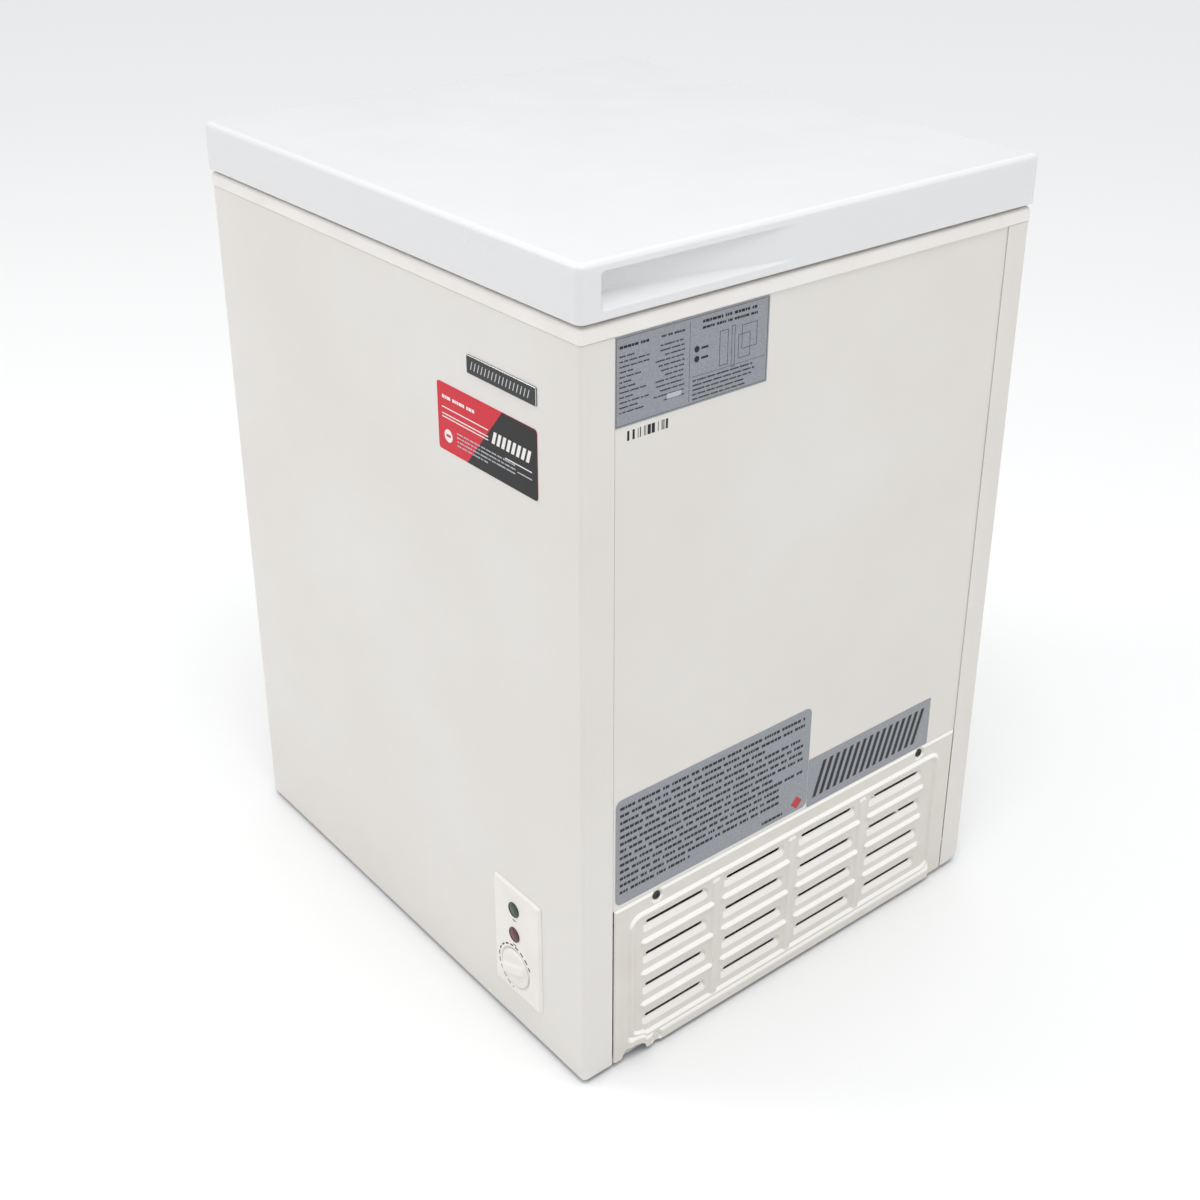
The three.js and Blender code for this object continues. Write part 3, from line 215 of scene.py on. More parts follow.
tree.links.new(fine_peel.outputs["Normal"], shader.inputs["Normal"])
FINISH["white_lid"] = finish

# %% [markdown]
# The rim, the control panel, the dial and the lid's inner panel are ABS, injection moulded or
# vacuum formed. Moulds for white goods are lightly grained so that they hide flow marks: the
# eye sees a satin white, a little warmer than the paint.

# %% White ABS, satin from the mould
finish, tree, shader, place = start_finish("moulded_white_abs", "#ECE8E4", 0.0, 0.38)
shader.inputs["IOR"].default_value = 1.53
flow = add_node(
    tree, "ShaderNodeTexNoise", {}, {"Vector": place, "Scale": 1 / 0.06, "Detail": 2.0}
)
tone = add_node(tree, "ShaderNodeValToRGB", {}, {"Fac": flow.outputs["Fac"]})
tone.color_ramp.elements[0].position = 0.3
tone.color_ramp.elements[0].color = tint("#E9E5E0")
tone.color_ramp.elements[1].position = 0.7
tone.color_ramp.elements[1].color = tint("#EEEBE7")
tree.links.new(tone.outputs["Color"], shader.inputs["Base Color"])
grain = add_node(
    tree, "ShaderNodeTexNoise", {}, {"Vector": place, "Scale": 1 / 0.0009, "Detail": 2.0}
)
mould_grain = add_node(
    tree,
    "ShaderNodeBump",
    {},
    {"Height": grain.outputs["Fac"], "Strength": 0.35, "Distance": 0.00003},
)
tree.links.new(mould_grain.outputs["Normal"], shader.inputs["Normal"])
FINISH["white_abs"] = finish

# %% [markdown]
# The louvred cover is polypropylene, a softer and cheaper plastic. Its mould is spark eroded
# to a coarser grain, about 1.2 mm, so it is duller and greyer than the paint beside it. The
# moulding is one colour: faces that lean upwards are drawn paler only to stand in for a
# hard light from above, which soft panels can't give it without burning out the lid.

# %% Grained polypropylene cover
finish, tree, shader, place = start_finish("grained_polypropylene", "#D9D5CE", 0.0, 0.36)
shader.inputs["IOR"].default_value = 1.49
flow = add_node(
    tree, "ShaderNodeTexNoise", {}, {"Vector": place, "Scale": 1 / 0.04, "Detail": 3.0}
)
tone = add_node(tree, "ShaderNodeValToRGB", {}, {"Fac": flow.outputs["Fac"]})
tone.color_ramp.elements[0].position = 0.3
tone.color_ramp.elements[0].color = tint("#D7D2CA")
tone.color_ramp.elements[1].position = 0.7
tone.color_ramp.elements[1].color = tint("#DCD8D1")
facing = add_node(tree, "ShaderNodeTexCoord", {}, {})
lean = add_node(tree, "ShaderNodeSeparateXYZ", {}, {"Vector": facing.outputs["Normal"]})
ledge = add_node(
    tree,
    "ShaderNodeMapRange",
    {},
    {"Value": lean.outputs["Z"], "From Min": 0.04, "From Max": 0.3, "To Max": 0.9},
)
# A colour Mix has its factor in input 0, its colours in 6 and 7, and its result in output 2.
paler = add_node(tree, "ShaderNodeMix", {"data_type": "RGBA"}, {})
paler.inputs[7].default_value = tint("#FBF9F5")
tree.links.new(ledge.outputs["Result"], paler.inputs[0])
tree.links.new(tone.outputs["Color"], paler.inputs[6])
tree.links.new(paler.outputs[2], shader.inputs["Base Color"])
grain = add_node(
    tree, "ShaderNodeTexNoise", {}, {"Vector": place, "Scale": 1 / 0.0012, "Detail": 2.0}
)
spark_grain = add_node(
    tree,
    "ShaderNodeBump",
    {},
    {"Height": grain.outputs["Fac"], "Strength": 0.6, "Distance": 0.00005},
)
tree.links.new(spark_grain.outputs["Normal"], shader.inputs["Normal"])
FINISH["cover_plastic"] = finish

# %% [markdown]
# The tub is painted aluminium sheet that has been run between embossing rollers. The pattern,
# called stucco, is a field of shallow pebbles 5 to 6 mm across; it hides dents and frost
# scratches, and it glitters in soft light.

# %% Stucco-embossed liner
finish, tree, shader, place = start_finish("stucco_embossed_liner", "#EDF0F1", 0.0, 0.28)
shader.inputs["IOR"].default_value = 1.5
pebble = add_node(
    tree,
    "ShaderNodeTexVoronoi",
    {"feature": "SMOOTH_F1"},
    {"Vector": place, "Scale": 1 / 0.0065, "Smoothness": 0.7},
)
stucco = add_node(
    tree,
    "ShaderNodeBump",
    {"invert": True},
    {"Height": pebble.outputs["Distance"], "Strength": 0.8, "Distance": 0.0006},
)
tree.links.new(stucco.outputs["Normal"], shader.inputs["Normal"])
FINISH["liner_enamel"] = finish

# %% [markdown]
# The base pan, the bay's wall and the compressor's rails are hot-dip galvanised. Zinc freezes
# on the steel in crystals, the spangle, about 12 mm across, and each facet takes the light a
# little differently.

# %% Galvanised sheet with spangle
finish, tree, shader, place = start_finish("hot_dip_galvanised", "#B4B9BC", 1.0, 0.42)
spangle = add_node(
    tree, "ShaderNodeTexVoronoi", {}, {"Vector": place, "Scale": 1 / 0.012}
)
facet = add_node(tree, "ShaderNodeSeparateColor", {}, {"Color": spangle.outputs["Color"]})
tone = add_node(tree, "ShaderNodeValToRGB", {}, {"Fac": facet.outputs["Red"]})
tone.color_ramp.elements[0].color = tint("#A6ABAE")
tone.color_ramp.elements[1].color = tint("#C6CACC")
tree.links.new(tone.outputs["Color"], shader.inputs["Base Color"])
gloss = add_node(
    tree,
    "ShaderNodeMapRange",
    {},
    {"Value": facet.outputs["Green"], "To Min": 0.32, "To Max": 0.52},
)
tree.links.new(gloss.outputs["Result"], shader.inputs["Roughness"])
FINISH["galvanised_sheet"] = finish

# %% [markdown]
# Rigid polyurethane foam fills the walls. It is blown in place, honey-coloured, dull, and full
# of small cells, drawn here at 2 mm because the real ones are too fine to see.

# %% Polyurethane foam
finish, tree, shader, place = start_finish("rigid_polyurethane_foam", "#DCC78F", 0.0, 0.85)
cells = add_node(tree, "ShaderNodeTexVoronoi", {}, {"Vector": place, "Scale": 1 / 0.002})
tone = add_node(tree, "ShaderNodeValToRGB", {}, {"Fac": cells.outputs["Distance"]})
tone.color_ramp.elements[0].color = tint("#E3D09B")
tone.color_ramp.elements[1].color = tint("#CDB578")
tree.links.new(tone.outputs["Color"], shader.inputs["Base Color"])
pores = add_node(
    tree,
    "ShaderNodeBump",
    {"invert": True},
    {"Height": cells.outputs["Distance"], "Strength": 0.5, "Distance": 0.0003},
)
tree.links.new(pores.outputs["Normal"], shader.inputs["Normal"])
FINISH["foam"] = finish

# %% [markdown]
# The compressor's shell is drawn steel, dipped in black enamel. It is the glossiest thing in
# the bay, with a lazy ripple where the enamel ran, about 15 mm apart.

# %% Black stoved enamel
finish, tree, shader, place = start_finish("black_stoved_enamel", "#17181A", 0.0, 0.22)
shader.inputs["IOR"].default_value = 1.52
runs = add_node(
    tree, "ShaderNodeTexNoise", {}, {"Vector": place, "Scale": 1 / 0.015, "Detail": 2.0}
)
ripple = add_node(
    tree,
    "ShaderNodeBump",
    {},
    {"Height": runs.outputs["Fac"], "Strength": 0.6, "Distance": 0.0005},
)
tree.links.new(ripple.outputs["Normal"], shader.inputs["Normal"])
FINISH["black_enamel"] = finish

# %% [markdown]
# Refrigerant runs in soft drawn copper. New copper is salmon pink; handling and the heat of
# brazing leave it browner in patches a few centimetres long.

# %% Drawn copper tube
finish, tree, shader, place = start_finish("drawn_copper", "#C9805C", 1.0, 0.34)
patches = add_node(
    tree, "ShaderNodeTexNoise", {}, {"Vector": place, "Scale": 1 / 0.035, "Detail": 4.0}
)
tone = add_node(tree, "ShaderNodeValToRGB", {}, {"Fac": patches.outputs["Fac"]})
tone.color_ramp.elements[0].position = 0.35
tone.color_ramp.elements[0].color = tint("#8A5238")
tone.color_ramp.elements[1].position = 0.6
tone.color_ramp.elements[1].color = tint("#CB8562")
tree.links.new(tone.outputs["Color"], shader.inputs["Base Color"])
FINISH["copper_tube"] = finish

# %% [markdown]
# Hinges, pins, springs and screws are steel with a clear zinc plate: a cool grey metal with a
# slightly cloudy shine, mottled every 8 mm or so where the plating is thicker.

# %% Clear zinc plate
finish, tree, shader, place = start_finish("clear_zinc_plate", "#BFC3C6", 1.0, 0.3)
mottle = add_node(
    tree, "ShaderNodeTexNoise", {}, {"Vector": place, "Scale": 1 / 0.008, "Detail": 3.0}
)
gloss = add_node(
    tree,
    "ShaderNodeMapRange",
    {},
    {
        "Value": mottle.outputs["Fac"],
        "From Min": 0.3,
        "From Max": 0.7,
        "To Min": 0.24,
        "To Max": 0.42,
    },
)
tree.links.new(gloss.outputs["Result"], shader.inputs["Roughness"])
FINISH["zinc_steel"] = finish

# %% [markdown]
# Feet, grommets, the gland and the bung are black rubber, moulded and never polished. The
# lid's seal is soft grey PVC, extruded, so it has a duller, smoother skin.

# %% Moulded rubber and the extruded seal
finish, tree, shader, place = start_finish("moulded_black_rubber", "#1C1C1D", 0.0, 0.68)
bloom = add_node(
    tree, "ShaderNodeTexNoise", {}, {"Vector": place, "Scale": 1 / 0.006, "Detail": 4.0}
)
tone = add_node(tree, "ShaderNodeValToRGB", {}, {"Fac": bloom.outputs["Fac"]})
tone.color_ramp.elements[0].color = tint("#151516")
tone.color_ramp.elements[1].color = tint("#2A2A2B")
tree.links.new(tone.outputs["Color"], shader.inputs["Base Color"])
skin = add_node(
    tree,
    "ShaderNodeBump",
    {},
    {"Height": bloom.outputs["Fac"], "Strength": 0.4, "Distance": 0.0001},
)
tree.links.new(skin.outputs["Normal"], shader.inputs["Normal"])
FINISH["black_rubber"] = finish

finish, tree, shader, place = start_finish("extruded_grey_seal", "#8F908E", 0.0, 0.52)
chalk = add_node(
    tree, "ShaderNodeTexNoise", {}, {"Vector": place, "Scale": 1 / 0.02, "Detail": 3.0}
)
tone = add_node(tree, "ShaderNodeValToRGB", {}, {"Fac": chalk.outputs["Fac"]})
tone.color_ramp.elements[0].color = tint("#868785")
tone.color_ramp.elements[1].color = tint("#9A9B99")
tree.links.new(tone.outputs["Color"], shader.inputs["Base Color"])
FINISH["grey_seal"] = finish

# %% [markdown]
# Two small electrical mouldings: the start relay's box in black ABS and the thermostat's
# housing in a cream, glass-filled plastic whose fibres show as fine pale flecks.

# %% Relay and thermostat plastics
finish, tree, shader, place = start_finish("moulded_black_abs", "#202123", 0.0, 0.5)
grain = add_node(
    tree, "ShaderNodeTexNoise", {}, {"Vector": place, "Scale": 1 / 0.001, "Detail": 2.0}
)
etched = add_node(
    tree,
    "ShaderNodeBump",
    {},
    {"Height": grain.outputs["Fac"], "Strength": 0.4, "Distance": 0.00005},
)
tree.links.new(etched.outputs["Normal"], shader.inputs["Normal"])
FINISH["black_abs"] = finish

finish, tree, shader, place = start_finish("cream_glass_filled_nylon", "#D9D2BE", 0.0, 0.55)
fibre = add_node(
    tree, "ShaderNodeTexNoise", {}, {"Vector": place, "Scale": 1 / 0.0015, "Detail": 3.0}
)
tone = add_node(tree, "ShaderNodeValToRGB", {}, {"Fac": fibre.outputs["Fac"]})
tone.color_ramp.elements[0].color = tint("#CEC6B0")
tone.color_ramp.elements[1].color = tint("#E4DECD")
tree.links.new(tone.outputs["Color"], shader.inputs["Base Color"])
FINISH["cream_plastic"] = finish

# %% [markdown]
# The pilot lamps are dyed polycarbonate lenses. Unlit, almost no light comes back out, so they
# read as nearly black with a hint of green or red, under a hard clear gloss. A faint moulded
# ripple inside the lens, 1.5 mm across, keeps the colour from lying flat.

# %% Dyed lamp lenses
for slot_name, name, deep, pale in (
    ("green_lens", "dyed_green_polycarbonate", "#16261D", "#274634"),
    ("red_lens", "dyed_red_polycarbonate", "#3A0A14", "#6B1424"),
):
    finish, tree, shader, place = start_finish(name, deep, 0.0, 0.12)
    shader.inputs["IOR"].default_value = 1.45
    shader.inputs["Coat Weight"].default_value = 0.1
    shader.inputs["Coat Roughness"].default_value = 0.05
    lens = add_node(
        tree, "ShaderNodeTexNoise", {}, {"Vector": place, "Scale": 1 / 0.0015}
    )
    tone = add_node(tree, "ShaderNodeValToRGB", {}, {"Fac": lens.outputs["Fac"]})
    tone.color_ramp.elements[0].position = 0.4
    tone.color_ramp.elements[0].color = tint(deep)
    tone.color_ramp.elements[1].position = 0.8
    tone.color_ramp.elements[1].color = tint(pale)
    tree.links.new(tone.outputs["Color"], shader.inputs["Base Color"])
    FINISH[slot_name] = finish

# %% [markdown]
# The badge is black acrylic with a bright hot-stamped foil on its raised edge and strokes. The
# foil is aluminium, so it is a metal with a thin, even shine.

# %% Badge acrylic and hot-stamped foil
finish, tree, shader, place = start_finish("black_acrylic", "#08080A", 0.0, 0.16)
shader.inputs["IOR"].default_value = 1.49
wipes = add_node(
    tree, "ShaderNodeTexNoise", {}, {"Vector": place, "Scale": 1 / 0.02, "Detail": 5.0}
)
gloss = add_node(
    tree,
    "ShaderNodeMapRange",
    {},
    {"Value": wipes.outputs["Fac"], "To Min": 0.1, "To Max": 0.26},
)
tree.links.new(gloss.outputs["Result"], shader.inputs["Roughness"])
FINISH["badge_black"] = finish

finish, tree, shader, place = start_finish("hot_stamped_foil", "#C9CBCE", 1.0, 0.26)
wipes = add_node(
    tree, "ShaderNodeTexNoise", {}, {"Vector": place, "Scale": 1 / 0.004, "Detail": 2.0}
)
gloss = add_node(
    tree,
    "ShaderNodeMapRange",
    {},
    {"Value": wipes.outputs["Fac"], "To Min": 0.2, "To Max": 0.34},
)
tree.links.new(gloss.outputs["Result"], shader.inputs["Roughness"])
FOIL_EDGE = finish

# %% [markdown]
# Printed things. The sticker is gloss vinyl with red and black inks; the plates on the side are
# a metallised silver film printed in black. Real metallised film is full of tiny flakes, drawn
# at 1 mm, and it looks mid-grey when it reflects a grey room.

# %% Vinyl inks and metallised film
INK = {}
for name, colour, rough in (
    ("gloss_red_ink", "#D0142C", 0.34),
    ("gloss_black_ink", "#121214", 0.36),
    ("gloss_white_ink", "#EDE9E7", 0.32),
    ("dial_grey_ink", "#3C3C3E", 0.45),
    ("plate_black_ink", "#1D1E22", 0.45),
    ("plate_light_ink", "#B9BCC2", 0.4),
    ("plate_red_ink", "#B5343C", 0.4),
):
    finish, tree, shader, place = start_finish(name, colour, 0.0, rough)
    dots = add_node(
        tree, "ShaderNodeTexNoise", {}, {"Vector": place, "Scale": 1 / 0.0008}
    )
    gloss = add_node(
        tree,
        "ShaderNodeMapRange",
        {},
        {"Value": dots.outputs["Fac"], "To Min": rough - 0.06, "To Max": rough + 0.06},
    )
    tree.links.new(gloss.outputs["Result"], shader.inputs["Roughness"])
    shader.inputs["IOR"].default_value = 1.38
    INK[name] = finish
FINISH["sticker_print"] = INK["gloss_red_ink"]

finish, tree, shader, place = start_finish("metallised_film", "#919499", 0.35, 0.36)
flake = add_node(tree, "ShaderNodeTexVoronoi", {}, {"Vector": place, "Scale": 1 / 0.001})
facet = add_node(tree, "ShaderNodeSeparateColor", {}, {"Color": flake.outputs["Color"]})
tone = add_node(tree, "ShaderNodeValToRGB", {}, {"Fac": facet.outputs["Red"]})
tone.color_ramp.elements[0].color = tint("#8A8D93")
tone.color_ramp.elements[1].color = tint("#9A9DA3")
tree.links.new(tone.outputs["Color"], shader.inputs["Base Color"])
FINISH["label_foil"] = finish

# %% [markdown]
# The basket's wire is dipped in white polythene powder, which melts into a thick soft coat
# with slow lumps about 10 mm long.

# %% Dip-coated wire
finish, tree, shader, place = start_finish("polythene_dipped_wire", "#E9E9E6", 0.0, 0.3)
shader.inputs["IOR"].default_value = 1.5
lumps = add_node(
    tree, "ShaderNodeTexNoise", {}, {"Vector": place, "Scale": 1 / 0.01, "Detail": 2.0}
)
coat = add_node(
    tree,
    "ShaderNodeBump",
    {},
    {"Height": lumps.outputs["Fac"], "Strength": 0.5, "Distance": 0.0004},
)
tree.links.new(coat.outputs["Normal"], shader.inputs["Normal"])
FINISH["coated_wire"] = finish
print("finishes:", len(FINISH), "inks:", len(INK))

# %% [markdown]
# The parts that stay as packed take these finishes straight away, by the slot each is listed
# under. Pieces made below stand for some of them later.

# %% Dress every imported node
SLOT_OF = {}
for part in frame["record"]["subparts"]:
    SLOT_OF[part["node"]] = part["material_slot"]
for node_name, solid in frame["nodes"].items():
    solid.material_slots[0].material = FINISH[SLOT_OF[node_name]]
print("dressed", len(SLOT_OF), "nodes in", len(set(SLOT_OF.values())), "slots")

# %% [markdown]
# ## Shape helpers
#
# A pressed or moulded part is mostly an outline swept through a profile, so the first helper
# draws a rounded rectangle with the same number of points whatever its size, and the second
# skins a stack of such rings. Rings that match point for point never twist.


# %% Rings and skins
def rounded_ring(half_x, half_y, radius, steps=8, along=()):
    """A rounded rectangle, anticlockwise from the front right corner. along adds places on
    both long sides."""
    points = []
    for turn, (side_x, side_y) in enumerate(((1, -1), (1, 1), (-1, 1), (-1, -1))):
        for step in range(steps + 1):
            angle = math.radians(90 * turn - 90 + 90 * step / steps)
            points.append(
                (
                    side_x * (half_x - radius) + radius * math.cos(angle),
                    side_y * (half_y - radius) + radius * math.sin(angle),
                )
            )
        if turn == 0:
            points += [(half_x, place_y) for place_y in along]
        if turn == 2:
            points += [(-half_x, place_y) for place_y in reversed(along)]
    return points


def skin_rings(rings, cap_first=False, cap_last=False, closed=False):
    """Quads between rings of 3-D points that have the same count."""
    shape = bmesh.new()
    rows = [[shape.verts.new(point) for point in ring] for ring in rings]
    pairs = list(zip(rows, rows[1:]))
    if closed:
        pairs.append((rows[-1], rows[0]))
    for lower, upper in pairs:
        for i in range(len(lower)):
            j = (i + 1) % len(lower)
            shape.faces.new((lower[i], lower[j], upper[j], upper[i]))
    if cap_first:
        shape.faces.new(rows[0])
    if cap_last:
        shape.faces.new(rows[-1])
    return shape


def turned(profile, steps=32):
    """A shape turned about Z from (radius, height) pairs; a radius of 0 closes it."""
    shape = bmesh.new()
    rows = []
    for radius, height in profile:
        if radius == 0:
            rows.append([shape.verts.new((0, 0, height))] * steps)
            continue
        ring = []
        for step in range(steps):
            angle = 2 * math.pi * step / steps
            ring.append(
                shape.verts.new((radius * math.cos(angle), radius * math.sin(angle), height))
            )
        rows.append(ring)
    for lower, upper in zip(rows, rows[1:]):
        for i in range(steps):
            j = (i + 1) % steps
            corners = []
            for corner in (lower[i], lower[j], upper[j], upper[i]):
                if corner not in corners:
                    corners.append(corner)
            if len(corners) > 2:
                shape.faces.new(corners)
    return shape


print("a ring has", len(rounded_ring(10, 10, 2)), "points")


# %% [markdown]
# Two flat working planes make the small parts easy to draw: X to the right and Y up, with Z
# pointing out of the cabinet's front or out of its right side.


# %% Working planes on the front and the right side
def on_front(x, y, z):
    """Drawing plane on the front: X stays X, Y goes up and Z comes forward."""
    return Matrix(((1, 0, 0, x), (0, 0, -1, y), (0, 1, 0, z), (0, 0, 0, 1)))


def on_right(x, y, z):
    """Drawing plane on the right side: X runs to the rear, Y goes up and Z comes outward."""
    return Matrix(((0, 0, 1, x), (1, 0, 0, y), (0, 1, 0, z), (0, 0, 0, 1)))


print("front plane turns Z to", tuple(on_front(0, 0, 0).to_3x3() @ Vector((0, 0, 1))))


# %% [markdown]
# Finishing a piece is always the same: scale it to metres, round its edges where a tool would,
# give sheet its thickness, freeze the modifiers, smooth what is meant to be smooth, and hand
# the piece to its body. Area-weighted normals keep big flats flat beside small rounds.


# %% Finish a piece
def finish_piece(name, shape, slot, body, stands_for=(), **choices):
    """Turns a bmesh in millimetres into a piece on a body, in a slot's finish."""
    bmesh.ops.recalc_face_normals(shape, faces=shape.faces)
    mesh = bpy.data.meshes.new(name)
    shape.to_mesh(mesh)
    shape.free()
    mesh.transform(Matrix.Scale(MM, 4))
    mesh.materials.append(choices.get("finish") or FINISH[slot])
    for extra in choices.get("more", ()):
        mesh.materials.append(extra)
    piece = bpy.data.objects.new(name, mesh)
    bpy.context.scene.collection.objects.link(piece)
    if choices.get("thickness"):
        sheet = piece.modifiers.new("sheet", "SOLIDIFY")
        sheet.thickness = choices["thickness"] * MM
        sheet.offset = choices.get("offset", -1)
    for cutter in choices.get("cuts", ()):
        cut = piece.modifiers.new("cut", "BOOLEAN")
        cut.operation = "DIFFERENCE"
        cut.solver = "EXACT"
        cut.object = cutter
    if choices.get("bevel"):
        edge = piece.modifiers.new("edge", "BEVEL")
        edge.width = choices["bevel"] * MM
        edge.segments = choices.get("segments", 2)
        edge.limit_method = "ANGLE"
        edge.angle_limit = math.radians(choices.get("limit", 40))
        edge.use_clamp_overlap = True
    if len(piece.modifiers):
        graph = bpy.context.evaluated_depsgraph_get()
        solid = bpy.data.meshes.new_from_object(piece.evaluated_get(graph))
        piece.modifiers.clear()
        piece.data = solid
        solid.name = name
    for cutter in choices.get("cuts", ()):
        bpy.data.objects.remove(cutter)
    piece.data.shade_smooth()
    piece.data.set_sharp_from_angle(angle=math.radians(choices.get("smooth", 40)))
    even = piece.modifiers.new("even_normals", "WEIGHTED_NORMAL")
    even.keep_sharp = True
    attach(piece, body)
    if stands_for:
        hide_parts(*stands_for)
    return piece


def cutter_from(shape):
    """A bare object that a boolean can cut with; it is removed after the cut."""
    bmesh.ops.recalc_face_normals(shape, faces=shape.faces)
    mesh = bpy.data.meshes.new("cutter")
    shape.to_mesh(mesh)
    shape.free()
    mesh.transform(Matrix.Scale(MM, 4))
    cutter = bpy.data.objects.new("cutter", mesh)
    bpy.context.scene.collection.objects.link(cutter)
    return cutter


def block(low, high):
    """A plain block between two corners, used for cutting and joining only."""
    shape = bmesh.new()
    bmesh.ops.create_cube(shape, size=1)
    size = Vector(high) - Vector(low)
    bmesh.ops.scale(shape, vec=size, verts=shape.verts)
    bmesh.ops.translate(shape, vec=Vector(low) + size / 2, verts=shape.verts)
    return shape


def soft_step(edge_low, edge_high, value):
    """0 below the first edge, 1 above the second and a smooth S between them."""
    share = min(1, max(0, (value - edge_low) / (edge_high - edge_low)))
    return share * share * (3 - 2 * share)


print("half way up a soft step:", soft_step(0, 2, 1))

# %% [markdown]
# ## The lid's skin
#
# The lid is a shallow tray folded from one sheet and pulled down over the foam. Each long side
# has a finger grip: full depth just behind the front corner, with a floor that slopes out, a
# hard upper edge, and a back wall that runs out to nothing 220 mm further back. A boolean would
# leave creases where it runs out, so the skirt is a dense grid and the grip is pressed into it
# with one depth formula, the way the press tool does it.

# %% The lid's skin and its two grips
low, high = span("lid_outer")
lid_half_x, lid_half_y = (high.x - low.x) / 2, (high.y - low.y) / 2
lid_mid_y = (high.y + low.y) / 2
grip_front = -lid_half_y + 22
grip_full = grip_front + 30
grip_end = grip_front + 216
grip_low, grip_high = low.z + 8, high.z - 9
grip_depth = 14
floor_rise = 13
corner = 8
edge_round = 6
mouth_corner = 4


def grip_at(place_y, place_z):
    """How far the side is pressed in at one place, in millimetres."""
    half_length, half_height = (grip_end + 30 - grip_front) / 2, (grip_high - grip_low) / 2
    from_middle_y = abs(place_y - grip_front - half_length) - half_length + mouth_corner
    from_middle_z = abs(place_z - (grip_high + grip_low) / 2) - half_height + mouth_corner
    outside = math.hypot(max(from_middle_y, 0), max(from_middle_z, 0)) - mouth_corner
    outside += min(max(from_middle_y, from_middle_z), 0)
    mouth = soft_step(0.0, 1.7, -outside)
    run_out = 1 - max(0, place_y - grip_full) / (grip_end - grip_full)
    wall = grip_depth * max(0, run_out)
    floor = grip_depth * (place_z - grip_low + 0.6) / floor_rise
    blend = 1.2
    share = min(1, max(0, 0.5 + 0.5 * (floor - wall) / blend))
    pressed = floor + (wall - floor) * share - blend * share * (1 - share)
    return max(0, pressed) * mouth


side_places = [-lid_half_y + corner + 4]
side_places += [grip_front + 0.5 * i for i in range(-2, 12)]
side_places += [grip_front + 6 + 3 * i for i in range(72)]
side_places += [-20, 60, 140, 220, lid_half_y - corner - 4]
heights = [low.z + 1 + 1.4 * i for i in range(5)]
heights += [grip_low + 0.9 * i for i in range(33)]
heights += [grip_high - 3 + 0.4 * i for i in range(10)]
profile = [(2.4, low.z + 3), (2.2, low.z + 0.6), (1.6, low.z), (0.7, low.z), (0.1, low.z + 0.6)]
profile += [(0, z) for z in sorted(heights)]
for step in range(1, 9):
    angle = math.radians(90 * step / 8)
    profile.append(
        (edge_round * (1 - math.cos(angle)), high.z - edge_round + edge_round * math.sin(angle))
    )
rings = []
for inset, z in profile:
    ring = []
    outline = rounded_ring(
        lid_half_x - inset, lid_half_y - inset, max(corner - inset, 1), 8, side_places
    )
    for x, y in outline:
        pressed = 0
        if abs(abs(x) - lid_half_x + inset) < 0.001 and grip_low - 3 < z < grip_high + 3:
            pressed = grip_at(y, z)
        ring.append((x - math.copysign(pressed, x), y + lid_mid_y, z))
    rings.append(ring)
finish_piece(
    "lid_skin",
    skin_rings(rings, cap_last=True),
    "white_lid",
    BODY_OF["lid_outer"],
    ("lid_outer",),
    thickness=0.9,
    smooth=75,
)
print("lid skirt grid:", len(rings), "rings of", len(rings[0]))

# %% [markdown]
# ## The rim
#
# A moulded plastic collar closes the gap between the outer sheet and the tub. Its outer edge is
# rolled, its top is flat for the seal, and a step 8 mm down on the inside carries the basket.
# The outside corners are tight and the inside ones are wide, so each ring has its own radius.

# %% The rim collar
low, high = span("rim_frame")
rim_mid_y = (low.y + high.y) / 2
outer_x, outer_y = (high.x - low.x) / 2, (high.y - low.y) / 2
open_x, open_y, open_r = 252.7, 220.2, 19.7
stations = [
    (outer_x - 1, outer_y - 1, 3.5, low.z),
    (outer_x - 0.3, outer_y - 0.3, 4.2, low.z + 0.3),
    (outer_x, outer_y, 4.5, low.z + 1),
    (outer_x, outer_y, 4.5, high.z - 4.5),
]
for step in range(1, 7):
    angle = math.radians(15 * step)
    back = 4.5 * (1 - math.cos(angle))
    stations.append(
        (outer_x - back, outer_y - back, 5.5 - back * 0.6, high.z - 4.5 + 4.5 * math.sin(angle))
    )
for inset, drop in ((13, 0), (12, 0.4), (11.6, 1.4), (11.6, 6.6), (11.2, 7.6), (10.2, 8)):
    stations.append(
        (open_x + inset + 2.4, open_y + inset + 2.4, open_r + inset + 2.4, high.z - drop)
    )
for inset, drop in ((1.6, 8), (0.5, 8.4), (0, 9.6), (0, 14.7)):
    stations.append((open_x + inset, open_y + inset, open_r + inset, high.z - drop))
rings = []
for half_x, half_y, radius, z in stations:
    rings.append(
        [(x, y + rim_mid_y, z) for x, y in rounded_ring(half_x, half_y, radius, 12)]
    )
finish_piece(
    "rim_collar",
    skin_rings(rings, closed=True),
    "white_abs",
    BODY_OF["rim_frame"],
    ("rim_frame",),
    smooth=50,
)
print("rim stations:", len(stations))

# %% [markdown]
# ## The seal
#
# The magnetic seal is an extruded bellows: a flat foot held by the lid's inner panel, a waist
# that lets it give, and a rounded pad with the magnet in it that lies on the rim.

